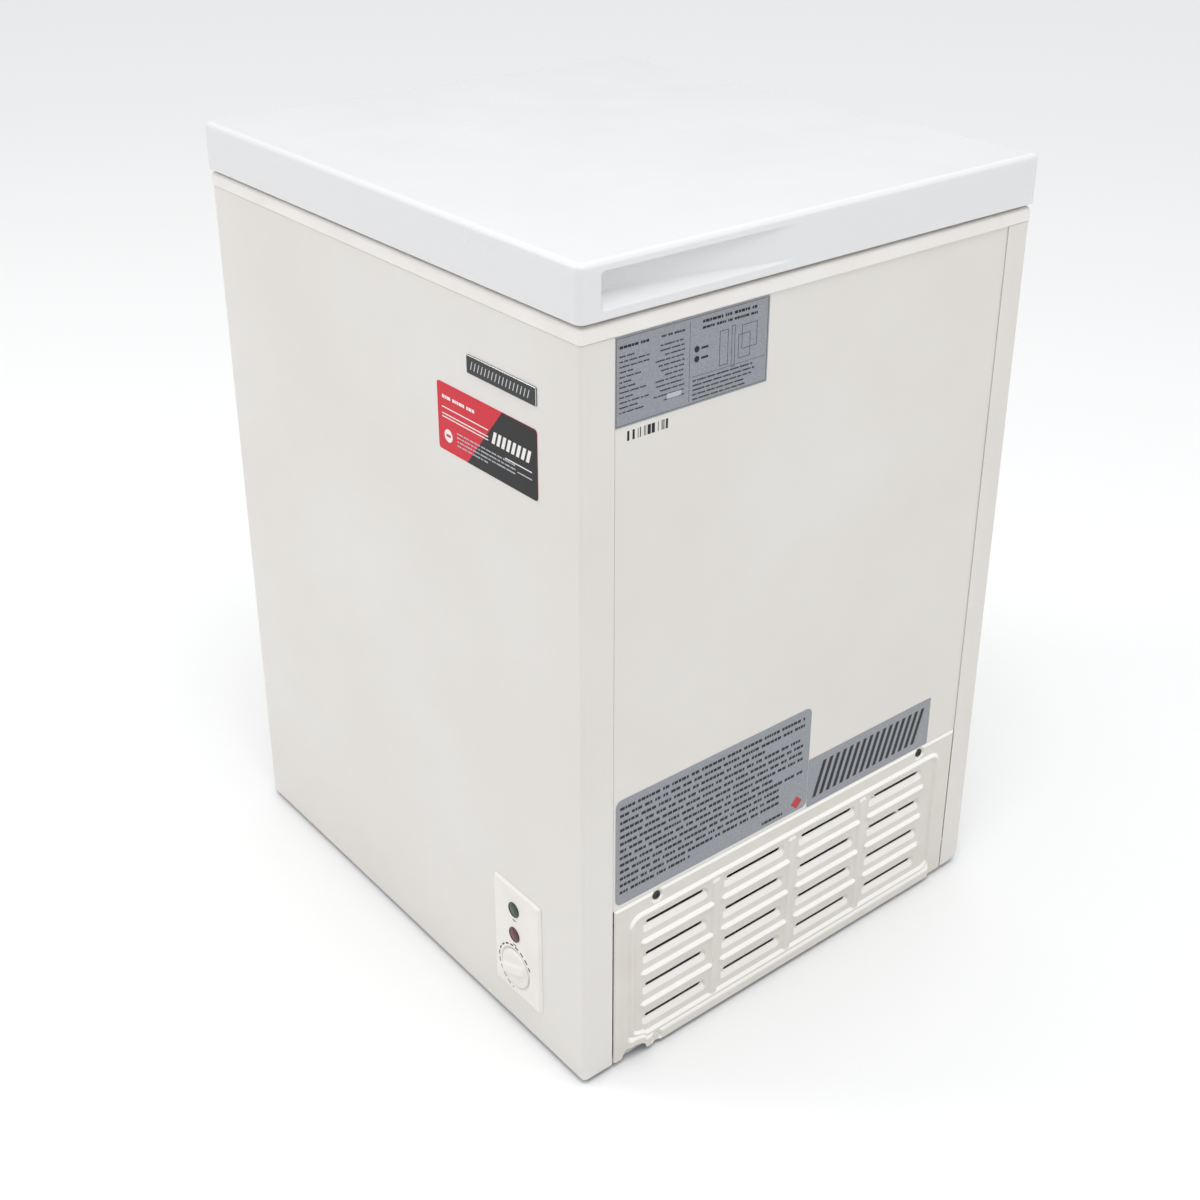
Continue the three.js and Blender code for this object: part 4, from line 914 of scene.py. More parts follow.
# %% The bellows seal
low, high = span("lid_gasket")
seal_mid_y = (low.y + high.y) / 2
seal_x, seal_y = (high.x - low.x) / 2, (high.y - low.y) / 2
section = [
    (1.0, 0),
    (0.2, 0.5),
    (0, 1.2),
    (0.2, 2.0),
    (1.9, 2.7),
    (2.1, 3.1),
    (0.8, 3.7),
    (0.6, high.z - low.z),
]
section += [(12 - inset, z) for inset, z in reversed(section)]
rings = []
for inset, z in section:
    outline = rounded_ring(seal_x - inset, seal_y - inset, 22 - inset, 10)
    rings.append([(x, y + seal_mid_y, low.z + z) for x, y in outline])
finish_piece(
    "bellows_seal",
    skin_rings(rings, closed=True),
    "grey_seal",
    BODY_OF["lid_gasket"],
    ("lid_gasket",),
    smooth=60,
)
print("seal section points:", len(section))

# %% [markdown]
# ## The front sheet
#
# One sheet makes the front and wraps round both corners on to the sides. It is drawn as a plan
# path with a small bend radius, pulled up to the rim, thickened inwards and pierced for the
# control panel. The returns end in a narrow joggle that the side panels tuck behind.

# %% The wrapped front sheet
low, high = span("front_panel")
bend = 4.5
path = [(low.x, high.y), (low.x, low.y + bend)]
for step in range(1, 9):
    angle = math.radians(180 + 90 * step / 8)
    path.append((low.x + bend + bend * math.cos(angle), low.y + bend + bend * math.sin(angle)))
path += [(-x, y) for x, y in reversed(path)]
shape = bmesh.new()
levels = [low.z, low.z + 0.5, low.z + 40, (low.z + high.z) / 2, high.z - 40, high.z]
rows = [[shape.verts.new((x, y, z)) for x, y in path] for z in levels]
for lower, upper in zip(rows, rows[1:]):
    for i in range(len(path) - 1):
        shape.faces.new((lower[i], lower[i + 1], upper[i + 1], upper[i]))
panel_low, panel_high = span("control_bezel")
opening = cutter_from(
    block(
        (panel_low.x + 4, low.y - 5, panel_low.z + 4),
        (panel_high.x - 4, low.y + 8, panel_high.z - 4),
    )
)
finish_piece(
    "front_sheet",
    shape,
    "white_enamel",
    BODY_OF["front_panel"],
    ("front_panel",),
    cuts=(opening,),
    thickness=1.0,
    bevel=0.4,
    limit=60,
    smooth=40,
)
front_face = low.y
print("front face at y", round(front_face, 2))

# %% [markdown]
# ## Rounding what is already right
#
# Side and back sheets, the pan, hinges, feet and bay parts already have their true shapes; only
# their edges are too sharp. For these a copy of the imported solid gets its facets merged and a
# small bevel, and stands for the original. A bevel of a few tenths is what shearing leaves.


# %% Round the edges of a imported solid
def soften(node, width, segments=2, limit=30, smooth=45, cuts=()):
    """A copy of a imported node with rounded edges, standing for it."""
    shape = bmesh.new()
    shape.from_mesh(frame["nodes"][node].data)
    bmesh.ops.scale(shape, vec=(1 / MM,) * 3, verts=shape.verts)
    bmesh.ops.remove_doubles(shape, verts=shape.verts, dist=0.01)
    bmesh.ops.dissolve_limit(
        shape, angle_limit=math.radians(2), verts=shape.verts, edges=shape.edges
    )
    return finish_piece(
        node + "_rounded",
        shape,
        SLOT_OF[node],
        BODY_OF[node],
        (node,),
        bevel=width,
        segments=segments,
        limit=limit,
        smooth=smooth,
        cuts=cuts,
    )


seam = span("front_panel")[1].y
for side, node_name in ((-1, "left_side_panel"), (1, "right_side_panel")):
    low, high = span(node_name)
    outside = high.x if side > 0 else low.x
    edges = sorted((outside - side * 0.75, outside + side * 2))
    joggle = cutter_from(
        block((edges[0], seam - 0.2, low.z - 5), (edges[1], seam + 1.3, high.z + 5))
    )
    soften(node_name, 0.2, cuts=(joggle,))
for node_name, width, segments in (
    ("back_panel", 0.35, 2),
    ("base_pan", 0.35, 2),
    ("bay_divider", 0.35, 2),
    ("compressor_bracket", 0.8, 2),
    ("start_relay_box", 1.5, 3),
    ("thermostat_body", 1.5, 3),
    ("hinge_arm_left", 0.5, 2),
    ("hinge_arm_right", 0.5, 2),
    ("hinge_bracket_left", 0.5, 2),
    ("hinge_bracket_right", 0.5, 2),
    ("hinge_pin_left", 0.5, 2),
    ("hinge_pin_right", 0.5, 2),
    ("cable_gland", 0.8, 2),
    ("drain_tube", 0.3, 2),
    ("drain_cap", 0.6, 3),
    ("drain_plug", 0.6, 3),
    ("foot_1", 2.0, 3),
    ("foot_2", 2.0, 3),
    ("foot_3", 2.0, 3),
    ("foot_4", 2.0, 3),
):
    soften(node_name, width, segments)
print("rounded copies made")

# %% [markdown]
# ## The louvred cover
#
# The cover over the machine bay is one moulding whose whole look is its relief: a raised border,
# upright ribs between four columns, short level ribs, and sixteen slots that each open above a
# scoop. Ribs and slots could be modelled one by one and joined, but the joins would crease. All
# of it is a height above the face, so a grid is drawn with its lines packed where the relief
# bends, lifted by one formula, opened at the slots and given the moulding's wall thickness.

# %% The cover's layout
low, high = span("compressor_cover")
cover_face = 314.5  # 0.8 mm proud of the side sheet
cover_front, cover_rear, cover_low, cover_top = low.y, high.y, low.z, high.z
field_front, field_rear = cover_front + 25, cover_rear - 30
field_low, field_top = 25, cover_top - 24
column_pitch = (field_rear - 10 - field_front) / 4
columns = [field_front + column_pitch * (i + 0.5) for i in range(4)]
row_pitch = (cover_top - 32.5 - 45) / 3
slot_rows = [45 + row_pitch * i for i in range(4)]
slot_half, slot_tall = (column_pitch - 32.5) / 2, 3
screw_places = [
    (cover_front + 53.5, cover_top - 6.5),
    (cover_rear - 58, cover_top - 6.5),
    (cover_front + 53.5, cover_low + 5.2),
]
column_reach = 62
rib_below_slot = 23.5
border_rise, lip_rise, upright_rise, level_rise = 2.3, 3.2, 1.9, 3.0
scoop_sink, dimple_sink, edge_sink = 2.1, 1.9, 1.3
arch_middle, arch_half, arch_tall, arch_fade = cover_front + 25, 15, 11, 36
print("slot rows at", [round(z, 1) for z in slot_rows], "columns at", [round(y) for y in columns])

# %% [markdown]
# The relief is what stands out less what is sunk. The two are kept apart until the end, so that
# a rib that crosses a scoop lifts it but doesn't wipe it out. Soft steps give each edge the
# moulding's small radius.


# %% The cover's relief
def from_rounded(place_y, place_z, middle, half, radius):
    """Signed distance to a rounded rectangle, negative inside."""
    over_y = abs(place_y - middle[0]) - half[0] + radius
    over_z = abs(place_z - middle[1]) - half[1] + radius
    reach = math.hypot(max(over_y, 0), max(over_z, 0))
    return reach + min(max(over_y, over_z), 0) - radius


def cover_relief(place_y, place_z):
    """Height of the cover's skin above its face: what stands out less what is sunk."""
    middle = ((field_front + field_rear) / 2, (field_low + field_top) / 2)
    half = ((field_rear - field_front) / 2 + 3.5, (field_top - field_low) / 2 + 3.5)
    border = from_rounded(place_y, place_z, middle, half, 11)
    raised = border_rise * (1 - soft_step(0.6, 4.4, abs(border)))
    sides = min(place_y - field_front + 7, field_rear + 7 - place_y)
    lip = soft_step(0, 12, field_low + 1 - place_z) * soft_step(-2, 4, sides)
    raised = max(raised, lip_rise * lip)
    sunk = 0
    for i, column in enumerate(columns):
        if i < 3 and place_z > field_low - 2:
            upright = column + column_pitch / 2
            over = math.hypot(place_y - upright, max(0, place_z - field_top + 6))
            raised = max(raised, upright_rise * (1 - soft_step(2.6, 6.4, over)))
        if abs(place_y - column) > column_reach:
            continue
        for row, slot_z in enumerate(slot_rows):
            if row > 0:
                rib_end = 48 if i < 3 else 43
                past = max(place_y - column - rib_end, column - 41 - place_y, 0)
                over = math.hypot(past, place_z - slot_z + rib_below_slot)
                raised = max(raised, level_rise * (1 - soft_step(0.6, 4.8, over)))
            if slot_z - 17 < place_z < slot_z + 4:
                inside = -from_rounded(
                    place_y, place_z, (column, slot_z - 5), (43.5, 8.5), 7.5
                )
                share = min(1, max(0, (place_z - slot_z + 11.5) / 8.5))
                sunk = max(sunk, scoop_sink * share * soft_step(0, 2.0, inside))
    for screw_y, screw_z in screw_places:
        over = math.hypot(place_y - screw_y, place_z - screw_z)
        sunk = max(sunk, dimple_sink * (1 - soft_step(5.4, 7.6, over)))
    edge = min(place_y - cover_front, cover_rear - place_y, cover_top - place_z)
    sunk += edge_sink * (1 - soft_step(0, 2.2, edge))
    return raised - sunk


def packed_lines(marks, widest):
    """Sorted grid lines through the marks, with more wherever the gap is too wide."""
    marks = sorted(marks)
    lines = [marks[0]]
    for mark in marks[1:]:
        gap = mark - lines[-1]
        if gap < 0.35:
            continue
        count = math.ceil(gap / widest)
        start = lines[-1]
        lines += [start + gap * (i + 1) / count for i in range(count)]
    return lines


print("relief beside the top slot:", round(cover_relief(columns[0], slot_rows[3] - 5), 2))

# %% [markdown]
# Grid lines run along every slot edge, rib and ridge. Lines beside a slot's ends are drawn in
# to make the ends round, and lines near the floor rise over the small arch at the front.

# %% The cover's grid
marks = [cover_front, cover_front + 0.8, cover_front + 1.6, cover_front + 2.4]
marks += [cover_rear, cover_rear - 0.8, cover_rear - 1.6, cover_rear - 2.4]
marks += [field_front - 8 + i for i in range(20)] + [field_rear - 11 + i for i in range(20)]
marks += [arch_middle + arch_half * math.sin(math.radians(a)) for a in range(-90, 91, 9)]
for screw_y, _ in screw_places[:2]:
    marks += [screw_y - 8 + i for i in range(17)]
for i, column in enumerate(columns):
    for side in (-1, 1):
        marks += [column + side * (slot_half - 3 + 3 * k / 6) for k in range(7)]
        marks += [column + side * (slot_half + 0.8 + 0.9 * k) for k in range(10)]
    if i < 3:
        marks += [column + column_pitch / 2 + 0.9 * k for k in range(-7, 8)]
lines_y = packed_lines(marks, 5)
marks = [cover_low, cover_low + 0.7, cover_low + 1.4, cover_top]
marks += [cover_top - 0.8 * k for k in range(4)]
marks += [field_low - 14 + i for i in range(20)] + [field_top - 10 + i for i in range(20)]
for _, screw_z in screw_places[:2]:
    marks += [screw_z - 8 + i for i in range(14)]
for row, slot_z in enumerate(slot_rows):
    marks += [slot_z - 15 + k for k in range(12)]
    marks += [slot_z - slot_tall, slot_z, slot_z + slot_tall, slot_z + 4, slot_z + 5]
    if row > 0:
        marks += [slot_z - rib_below_slot + 0.9 * k for k in range(-5, 6)]
lines_z = packed_lines(marks, 4)
shape = bmesh.new()
grid = []
for line_z in lines_z:
    row = []
    for line_y in lines_y:
        z = line_z
        for column in columns:
            for slot_z in slot_rows:
                along = abs(line_y - column)
                if along <= slot_half + 0.01 and abs(line_z - slot_z) <= slot_tall + 0.01:
                    past = max(0, along - slot_half + slot_tall)
                    half_open = math.sqrt(max(0, slot_tall**2 - past**2))
                    z = slot_z + (line_z - slot_z) * half_open / slot_tall
        lift = cover_relief(line_y, z)
        off_arch = abs(line_y - arch_middle) / arch_half
        if off_arch < 1 and z < cover_low + arch_fade:
            edge_z = cover_low + arch_tall * math.sqrt(1 - off_arch**2)
            z = edge_z + (z - cover_low) * (cover_low + arch_fade - edge_z) / arch_fade
        row.append(shape.verts.new((line_y, z, lift)))
    grid.append(row)
for k in range(len(lines_z) - 1):
    for i in range(len(lines_y) - 1):
        middle_y = (lines_y[i] + lines_y[i + 1]) / 2
        middle_z = (lines_z[k] + lines_z[k + 1]) / 2
        open_here = any(abs(middle_y - column) < slot_half for column in columns) and any(
            abs(middle_z - slot_z) < slot_tall - 0.1 for slot_z in slot_rows
        )
        if not open_here:
            shape.faces.new((grid[k][i], grid[k][i + 1], grid[k + 1][i + 1], grid[k + 1][i]))
bmesh.ops.remove_doubles(shape, verts=shape.verts, dist=0.02)
shape.transform(on_right(cover_face, 0, 0))
finish_piece(
    "louvred_cover",
    shape,
    "cover_plastic",
    BODY_OF["compressor_cover"],
    ("compressor_cover",),
    thickness=0.8,
    smooth=70,
)
print("cover grid:", len(lines_y), "by", len(lines_z))

# %% [markdown]
# ## Cross-head screws
#
# Three screws hold the cover. Each head is turned, domed a little, and has a cross pressed into
# it; two crossed blocks cut that recess. They are plated steel drawn nearly black: that colour is
# painted shade, standing in for the shadow of the deep holes they sit in.

# %% Cross-head screws, drawn dark as painted shade
# Painted shade: this dark grey stands in for the shadow in the cover's screw holes, not for a
# black coating.
finish, tree, shader, place = start_finish("steel_darkened_as_painted_shade", "#4A4A4C", 1.0, 0.45)
salt = add_node(
    tree, "ShaderNodeTexNoise", {}, {"Vector": place, "Scale": 1 / 0.0012, "Detail": 2.0}
)
gloss = add_node(
    tree,
    "ShaderNodeMapRange",
    {},
    {"Value": salt.outputs["Fac"], "To Min": 0.35, "To Max": 0.6},
)
tree.links.new(gloss.outputs["Result"], shader.inputs["Roughness"])
SCREW_PAINTED_SHADE = finish


def cross_head(name, plane, node, body, radius, height, finish):
    """A turned screw head with a cross recess, on a drawing plane."""
    dome = [
        (0, -2.5),
        (radius * 0.55, -2.5),
        (radius * 0.55, 0),
        (radius, 0),
        (radius, height * 0.25),
        (radius * 0.93, height * 0.6),
        (radius * 0.72, height * 0.88),
        (radius * 0.4, height),
        (0, height),
    ]
    shape = turned(dome, 28)
    shape.transform(plane)
    cuts = []
    for wide, tall in ((radius * 1.15, radius * 0.26), (radius * 0.26, radius * 1.15)):
        arm = block(
            (-wide / 2, -tall / 2, height - 1.1),
            (wide / 2, tall / 2, height + 1),
        )
        arm.transform(plane @ Matrix.Rotation(math.radians(25), 4, "Z"))
        cuts.append(cutter_from(arm))
    return finish_piece(
        name,
        shape,
        "zinc_steel",
        body,
        (node,) if node else (),
        cuts=cuts,
        finish=finish,
        smooth=35,
    )


for number, (screw_y, screw_z) in enumerate(screw_places, 1):
    node_name = "cover_screw_%d" % number
    cross_head(
        "cross_head_%d" % number,
        on_right(cover_face - 1.2, screw_y, screw_z),
        node_name,
        BODY_OF[node_name],
        4.8,
        1.9,
        SCREW_PAINTED_SHADE,
    )
print("cover screws:", len(screw_places))

# %% [markdown]
# The hinges' plates are held to the back with the same kind of screw, zinc plated. Each sits on
# the plate's own face, which is found from the plate's lowest or highest corners.

# %% Hinge screws
for side in ("left", "right"):
    for node_name, at_top, heights in (
        ("hinge_bracket_" + side, False, (10, 40)),
        ("hinge_arm_" + side, True, (8,)),
    ):
        low, high = span(node_name)
        edge_z = high.z if at_top else low.z
        corners = [v.co / MM for v in frame["nodes"][node_name].data.vertices]
        face_y = max(v.y for v in corners if abs(v.z - edge_z) < 4)
        for height in heights:
            for shift in (-11, 11):
                z = high.z - height if at_top else low.z + height
                back = Matrix.Translation(((low.x + high.x) / 2 + shift, face_y, z))
                cross_head(
                    "%s_screw_%d_%s" % (node_name, height, "b" if shift > 0 else "a"),
                    back @ Matrix.Rotation(math.radians(-90), 4, "X"),
                    None,
                    BODY_OF[node_name],
                    3.4,
                    1.6,
                    FINISH["zinc_steel"],
                )
    print(side, "hinge plate faces y", round(face_y, 2))

# %% [markdown]
# ## The control panel
#
# A small ABS frame clips into the front sheet. Its edge is chamfered at 45 degrees and a
# shallow dish is sunk in it for the dial, so that a thumb can roll the rim. The frame is a
# skinned stack of rings, the dish is cut by a turned bowl, and a bore 0.5 mm wider all round
# than the shaft lets the dial turn.

# %% The control panel's frame
low, high = span("control_bezel")
panel_x, panel_z = (low.x + high.x) / 2, (low.z + high.z) / 2
half_wide, half_tall = (high.x - low.x) / 2, (high.z - low.z) / 2
panel_lift = front_face - low.y
rings = []
for inset, lift in (
    (0.15, 0.05),
    (0, 0.25),
    (0.5, 0.75),
    (panel_lift - 0.6, panel_lift - 0.25),
    (panel_lift - 0.1, panel_lift - 0.04),
    (panel_lift + 0.4, panel_lift),
):
    outline = rounded_ring(half_wide - inset, half_tall - inset, max(3.2 - inset, 0.6), 5)
    rings.append([(x, y, lift) for x, y in outline])
shape = skin_rings(rings, cap_first=True, cap_last=True)
plane = on_front(panel_x, front_face, panel_z)
shape.transform(plane)
knob_low, knob_high = span("thermostat_knob")
dial_x = (knob_low.x + knob_high.x) / 2 - panel_x
dial_z = (knob_low.z + knob_high.z) / 2 - panel_z
at_dial = plane @ Matrix.Translation((dial_x, dial_z, 0))
dish = [(0, 0.95), (20.5, 0.95), (22.3, 1.15), (23.4, 1.7), (24.1, 2.6), (24.6, 3.4)]
bowl = turned(dish + [(24.6, 6), (0, 6)], 72)
bowl.transform(at_dial)
shaft_low, shaft_high = span("thermostat_shaft")
bore_radius = (shaft_high.x - shaft_low.x) / 2 + 0.5
bore = turned([(0, -6), (bore_radius, -6), (bore_radius, 6), (0, 6)])
bore.transform(at_dial)
finish_piece(
    "control_frame",
    shape,
    "white_abs",
    BODY_OF["control_bezel"],
    ("control_bezel",),
    cuts=(cutter_from(bowl), cutter_from(bore)),
    smooth=35,
)
print("dial sits", round(dial_x, 1), round(dial_z, 1), "from the panel's middle")

# %% [markdown]
# ## The dial
#
# The thermostat's dial is a disc with a finger bar across it, pulled out of the mould in one
# piece, so the bar flows into the disc with soft fillets. A disc of rings lifted by a height
# formula gives those fillets for nothing.

# %% The dial
low, high = span("thermostat_knob")
knob_tall = high.y - low.y
knob_radius = (high.x - low.x) / 2
bar_turn = math.radians(22)
shape = bmesh.new()
radii = [0.8 * i for i in range(1, 25)] + [19.7, 20.2, 20.6, 20.95, 21.2, 21.4, 21.5]
sides = 120
rows = []
for radius in radii:
    ring = []
    for step in range(sides):
        angle = 2 * math.pi * step / sides
        x, y = radius * math.cos(angle), radius * math.sin(angle)
        along = x * math.cos(bar_turn) + y * math.sin(bar_turn)
        across = -x * math.sin(bar_turn) + y * math.cos(bar_turn)
        disc = 3.1 - 1.6 * (1 - math.sqrt(max(0, 1 - soft_step(19.2, 21.5, radius) ** 2)))
        crown = knob_tall - 0.4 - 0.0035 * along**2
        bar = 1 - soft_step(3.4, 6.6, abs(across))
        bar *= 1 - soft_step(17.6, 20.8, radius)
        ring.append(shape.verts.new((x, y, disc + (crown - disc) * bar)))
    rows.append(ring)
centre_point = shape.verts.new((0, 0, knob_tall - 0.4))
for i in range(sides):
    shape.faces.new((centre_point, rows[0][i], rows[0][(i + 1) % sides]))
skirt = []
for step in range(sides):
    angle = 2 * math.pi * step / sides
    skirt.append(
        shape.verts.new((knob_radius * math.cos(angle), knob_radius * math.sin(angle), 0.1))
    )
rows.append(skirt)
for lower, upper in zip(rows, rows[1:]):
    for i in range(sides):
        j = (i + 1) % sides
        shape.faces.new((lower[i], lower[j], upper[j], upper[i]))
shape.faces.new(skirt)
shape.transform(on_front((low.x + high.x) / 2, high.y, (low.z + high.z) / 2))
finish_piece(
    "dial",
    shape,
    "white_abs",
    BODY_OF["thermostat_knob"],
    ("thermostat_knob",),
    smooth=60,
)
print("dial stands", round(knob_tall, 1), "mm tall")

# %% [markdown]
# ## The pilot lamps
#
# Each lamp is a small turned lens with a raised collar and a shallow dome.

# %% The pilot lamps
for node_name in ("green_lamp", "red_lamp"):
    low, high = span(node_name)
    radius = (high.x - low.x) / 2
    lift = front_face - panel_lift - low.y
    lens = [
        (0, -3),
        (radius, -3),
        (radius, lift * 0.55),
        (radius * 0.97, lift * 0.85),
        (radius * 0.9, lift),
        (radius * 0.84, lift * 0.9),
        (radius * 0.8, lift * 0.55),
        (radius * 0.62, lift * 0.8),
        (radius * 0.32, lift * 0.97),
        (0, lift),
    ]
    shape = turned(lens, 48)
    shape.transform(
        on_front((low.x + high.x) / 2, front_face - panel_lift, (low.z + high.z) / 2)
    )
    finish_piece(
        node_name + "_lens", shape, SLOT_OF[node_name], BODY_OF[node_name], (node_name,), smooth=50
    )
    print(node_name, "radius", round(radius, 1), "proud", round(lift, 1))

# %% [markdown]
# ## Printing
#
# Print has no thickness to speak of, yet as real geometry it stays crisp at any distance. Every
# printed mark here is a thin film that stands at most 0.1 mm proud. All of it is plain bars,
# blocks and lines: the real thing carries words there, and a part for a library should not.


# %% Printing helpers
def add_film(shape, outline, low, high, layer):
    """A flat prism from an outline in the drawing plane, in one of the piece's finishes."""
    floor = [shape.verts.new((x, y, low)) for x, y in outline]
    roof = [shape.verts.new((x, y, high)) for x, y in outline]
    faces = [shape.faces.new(roof), shape.faces.new(list(reversed(floor)))]
    for i in range(len(outline)):
        j = (i + 1) % len(outline)
        faces.append(shape.faces.new((floor[i], floor[j], roof[j], roof[i])))
    for face in faces:
        face.material_index = layer


def bar_outline(x0, y0, x1, y1):
    """A plain bar."""
    return [(x0, y0), (x1, y0), (x1, y1), (x0, y1)]


def frame_outlines(x0, y0, x1, y1, line):
    """Four bars that make an open frame."""
    return [
        bar_outline(x0, y0, x1, y0 + line),
        bar_outline(x0, y1 - line, x1, y1),
        bar_outline(x0, y0 + line, x0 + line, y1 - line),
        bar_outline(x1 - line, y0 + line, x1, y1 - line),
    ]


def small_print(dice, x0, x1, y, tall):
    """A row of plain blocks in clumps, the grey of small print seen from afar."""
    bars, x = [], x0
    while x < x1 - tall:
        for _ in range(dice.randint(2, 6)):
            width = dice.uniform(0.35, 1.1) * tall
            if x + width > x1:
                break
            bars.append(bar_outline(x, y, x + width, y + 0.62 * tall))
            x += width + 0.16 * tall
        x += 0.5 * tall
    return bars


def slanted(x0, y0, x1, y1):
    """A bar that leans to the right by a third of its height."""
    lean = (y1 - y0) / 3
    return [(x0, y0), (x1, y0), (x1 + lean, y1), (x0 + lean, y1)]


def arc_outline(radius, width, start, end, steps):
    """A strip along an arc, angles in degrees."""
    turns = [math.radians(start + (end - start) * i / steps) for i in range(steps + 1)]
    far, near = radius + width / 2, radius - width / 2
    outer = [(far * math.cos(a), far * math.sin(a)) for a in turns]
    inner = [(near * math.cos(a), near * math.sin(a)) for a in turns]
    return outer + list(reversed(inner))


def moved(outlines, x, y):
    """The outlines shifted in the drawing plane."""
    return [[(px + x, py + y) for px, py in outline] for outline in outlines]


print("an arc strip has", len(arc_outline(20, 1, 0, 90, 8)), "points")

# %% [markdown]
# The dial's scale is a broken ring of grey dashes that grows heavier towards cold. The dashes
# follow each other every 18 degrees, clockwise from below, and the first and last are shorter.
# A small mark is printed under each lamp.

# %% The dial's scale
shape = bmesh.new()
marks = []
dashes, dash_step = 14, 18
for index in range(dashes):
    start, end = -102 - dash_step * index, -91 - dash_step * index
    if index == 0:
        end -= 6
    if index == dashes - 1:
        start += 2
    marks.append(arc_outline(27.4, 1.1 + 0.09 * index, start, end, 6))
for outline in moved(marks, dial_x, dial_z):
    add_film(shape, outline, panel_lift, panel_lift + 0.04, 0)
for node_name in ("green_lamp", "red_lamp"):
    low, high = span(node_name)
    x, y = (low.x + high.x) / 2 - panel_x, (low.z + high.z) / 2 - panel_z - 13.4
    mark = bar_outline(x - 2.6, y - 0.7, x + 2.6, y + 0.7)
    add_film(shape, mark, panel_lift, panel_lift + 0.04, 0)
shape.transform(plane)
finish_piece("dial_scale", shape, "", "cabinet", finish=INK["dial_grey_ink"])
print("scale marks:", len(marks))

# %% [markdown]
# ## The badge
#
# The badge is a black acrylic bar with a foil chamfer and a row of slanted foil strokes where a
# name would be. The bar is a stack of rings, and the ring of faces on its chamfer takes foil.


# %% The badge
def open_plane(node):
    """Middle, half sizes and thickness of a plate on the front."""
    low, high = span(node)
    middle = ((low.x + high.x) / 2, (low.z + high.z) / 2)
    return middle, (high.x - low.x) / 2, (high.z - low.z) / 2, front_face - low.y


(badge_x, badge_z), half_wide, half_tall, lift = open_plane("badge_plate")
rings = []
for inset, height in ((0, 0.05), (0, lift - 0.55), (0.55, lift - 0.05), (0.8, lift)):
    outline = rounded_ring(half_wide - inset, half_tall - inset, 1.3 - inset, 4)
    rings.append([(x, y, height) for x, y in outline])
shape = skin_rings(rings, cap_first=True, cap_last=True)
for face in shape.faces:
    heights = [v.co.z for v in face.verts]
    if min(heights) > lift - 0.6 and max(heights) - min(heights) > 0.3:
        face.material_index = 1
strokes = 17
stroke_step = (2 * half_wide - 13) / strokes
for index in range(strokes):
    x0 = -half_wide + 5 + stroke_step * (index + 0.2)
    add_film(shape, slanted(x0, -4, x0 + 1.1, 4), lift, lift + 0.05, 2)
shape.transform(on_front(badge_x, front_face, badge_z))
finish_piece(
    "badge_bar",
    shape,
    "badge_black",
    BODY_OF["badge_plate"],
    ("badge_plate",),
    more=(FOIL_EDGE, FOIL_EDGE),
    smooth=30,
)
print("badge", round(2 * half_wide, 1), "by", round(2 * half_tall, 1))

# %% [markdown]
# ## The sticker
#
# The sticker is a vinyl sheet, red with a black corner cut off at a slant, and light bars across
# both. Its marks are laid out in millimetres from its lower left corner. Where two inks overlap,
# the upper one stands a little prouder, so that neither flickers through the other.

# %% The sticker
(sticker_x, sticker_z), half_wide, half_tall, lift = open_plane("front_sticker")
wide, tall = 2 * half_wide, 2 * half_tall
shape = bmesh.new()
outline = rounded_ring(half_wide, half_tall, 3.5, 6)
add_film(shape, outline, 0.02, lift, 0)
black = [(45, 0.0), (wide - 3.5, 0), (wide - 1, 1), (wide, 3.5), (wide, tall - 3.5)]
black += [(wide - 1, tall - 1), (wide - 3.5, tall), (101, tall)]
inks = [(black, 1)]
for y in (33, 36.2, 42.6):
    inks.append((bar_outline(7, y, 79, y + 1.1), 2))
for index in range(8):
    x0 = 84 + 7.2 * index
    inks.append((slanted(x0, 32.5, x0 + 4.4, 44.5), 2))
inks += [(bar, 2) for bar in small_print(random.Random(3), 8, 66, 52, 5)]
inks.append(([(x + 16, y + 16) for x, y in rounded_ring(6.4, 6.4, 6.4, 8)], 2))
inks += [(bar_outline(12.5, 14.8, 19.5, 17.4), 0)]
for row in range(4):
    right = 120 if row < 3 else 78
    inks += [
        (bar, 3)
        for bar in small_print(random.Random(row), 30, right, 22.5 - 4 * row, 2.2)
    ]
inks += [(bar_outline(104, 24.5, 143, 25.6), 2), (bar_outline(122, 17.5, 143, 18.6), 3)]
ink_span = {0: (0.03, 0.1), 1: (0, 0.04), 2: (0.03, 0.07), 3: (0.03, 0.07)}
for outline, layer in inks:
    base, top = ink_span[layer]
    placed = [(x - half_wide, y - half_tall) for x, y in outline]
    add_film(shape, placed, lift + base, lift + top, layer)
shape.transform(on_front(sticker_x, front_face, sticker_z))
finish_piece(
    "front_sticker_print",
    shape,
    "sticker_print",
    BODY_OF["front_sticker"],
    ("front_sticker",),
    more=(INK["gloss_black_ink"], INK["gloss_white_ink"], INK["plate_light_ink"]),
    smooth=30,
)
print("sticker", round(wide), "by", round(tall), "with", len(inks), "marks")

# %% [markdown]
# ## The side plates
#
# Three metallised plates on the right side: a rating plate in two columns with a small line
# drawing, a tall notice full of small print, and a long strip of large dark shapes. Real ones
# state ratings and hazards; these carry the same weight of grey without a word.


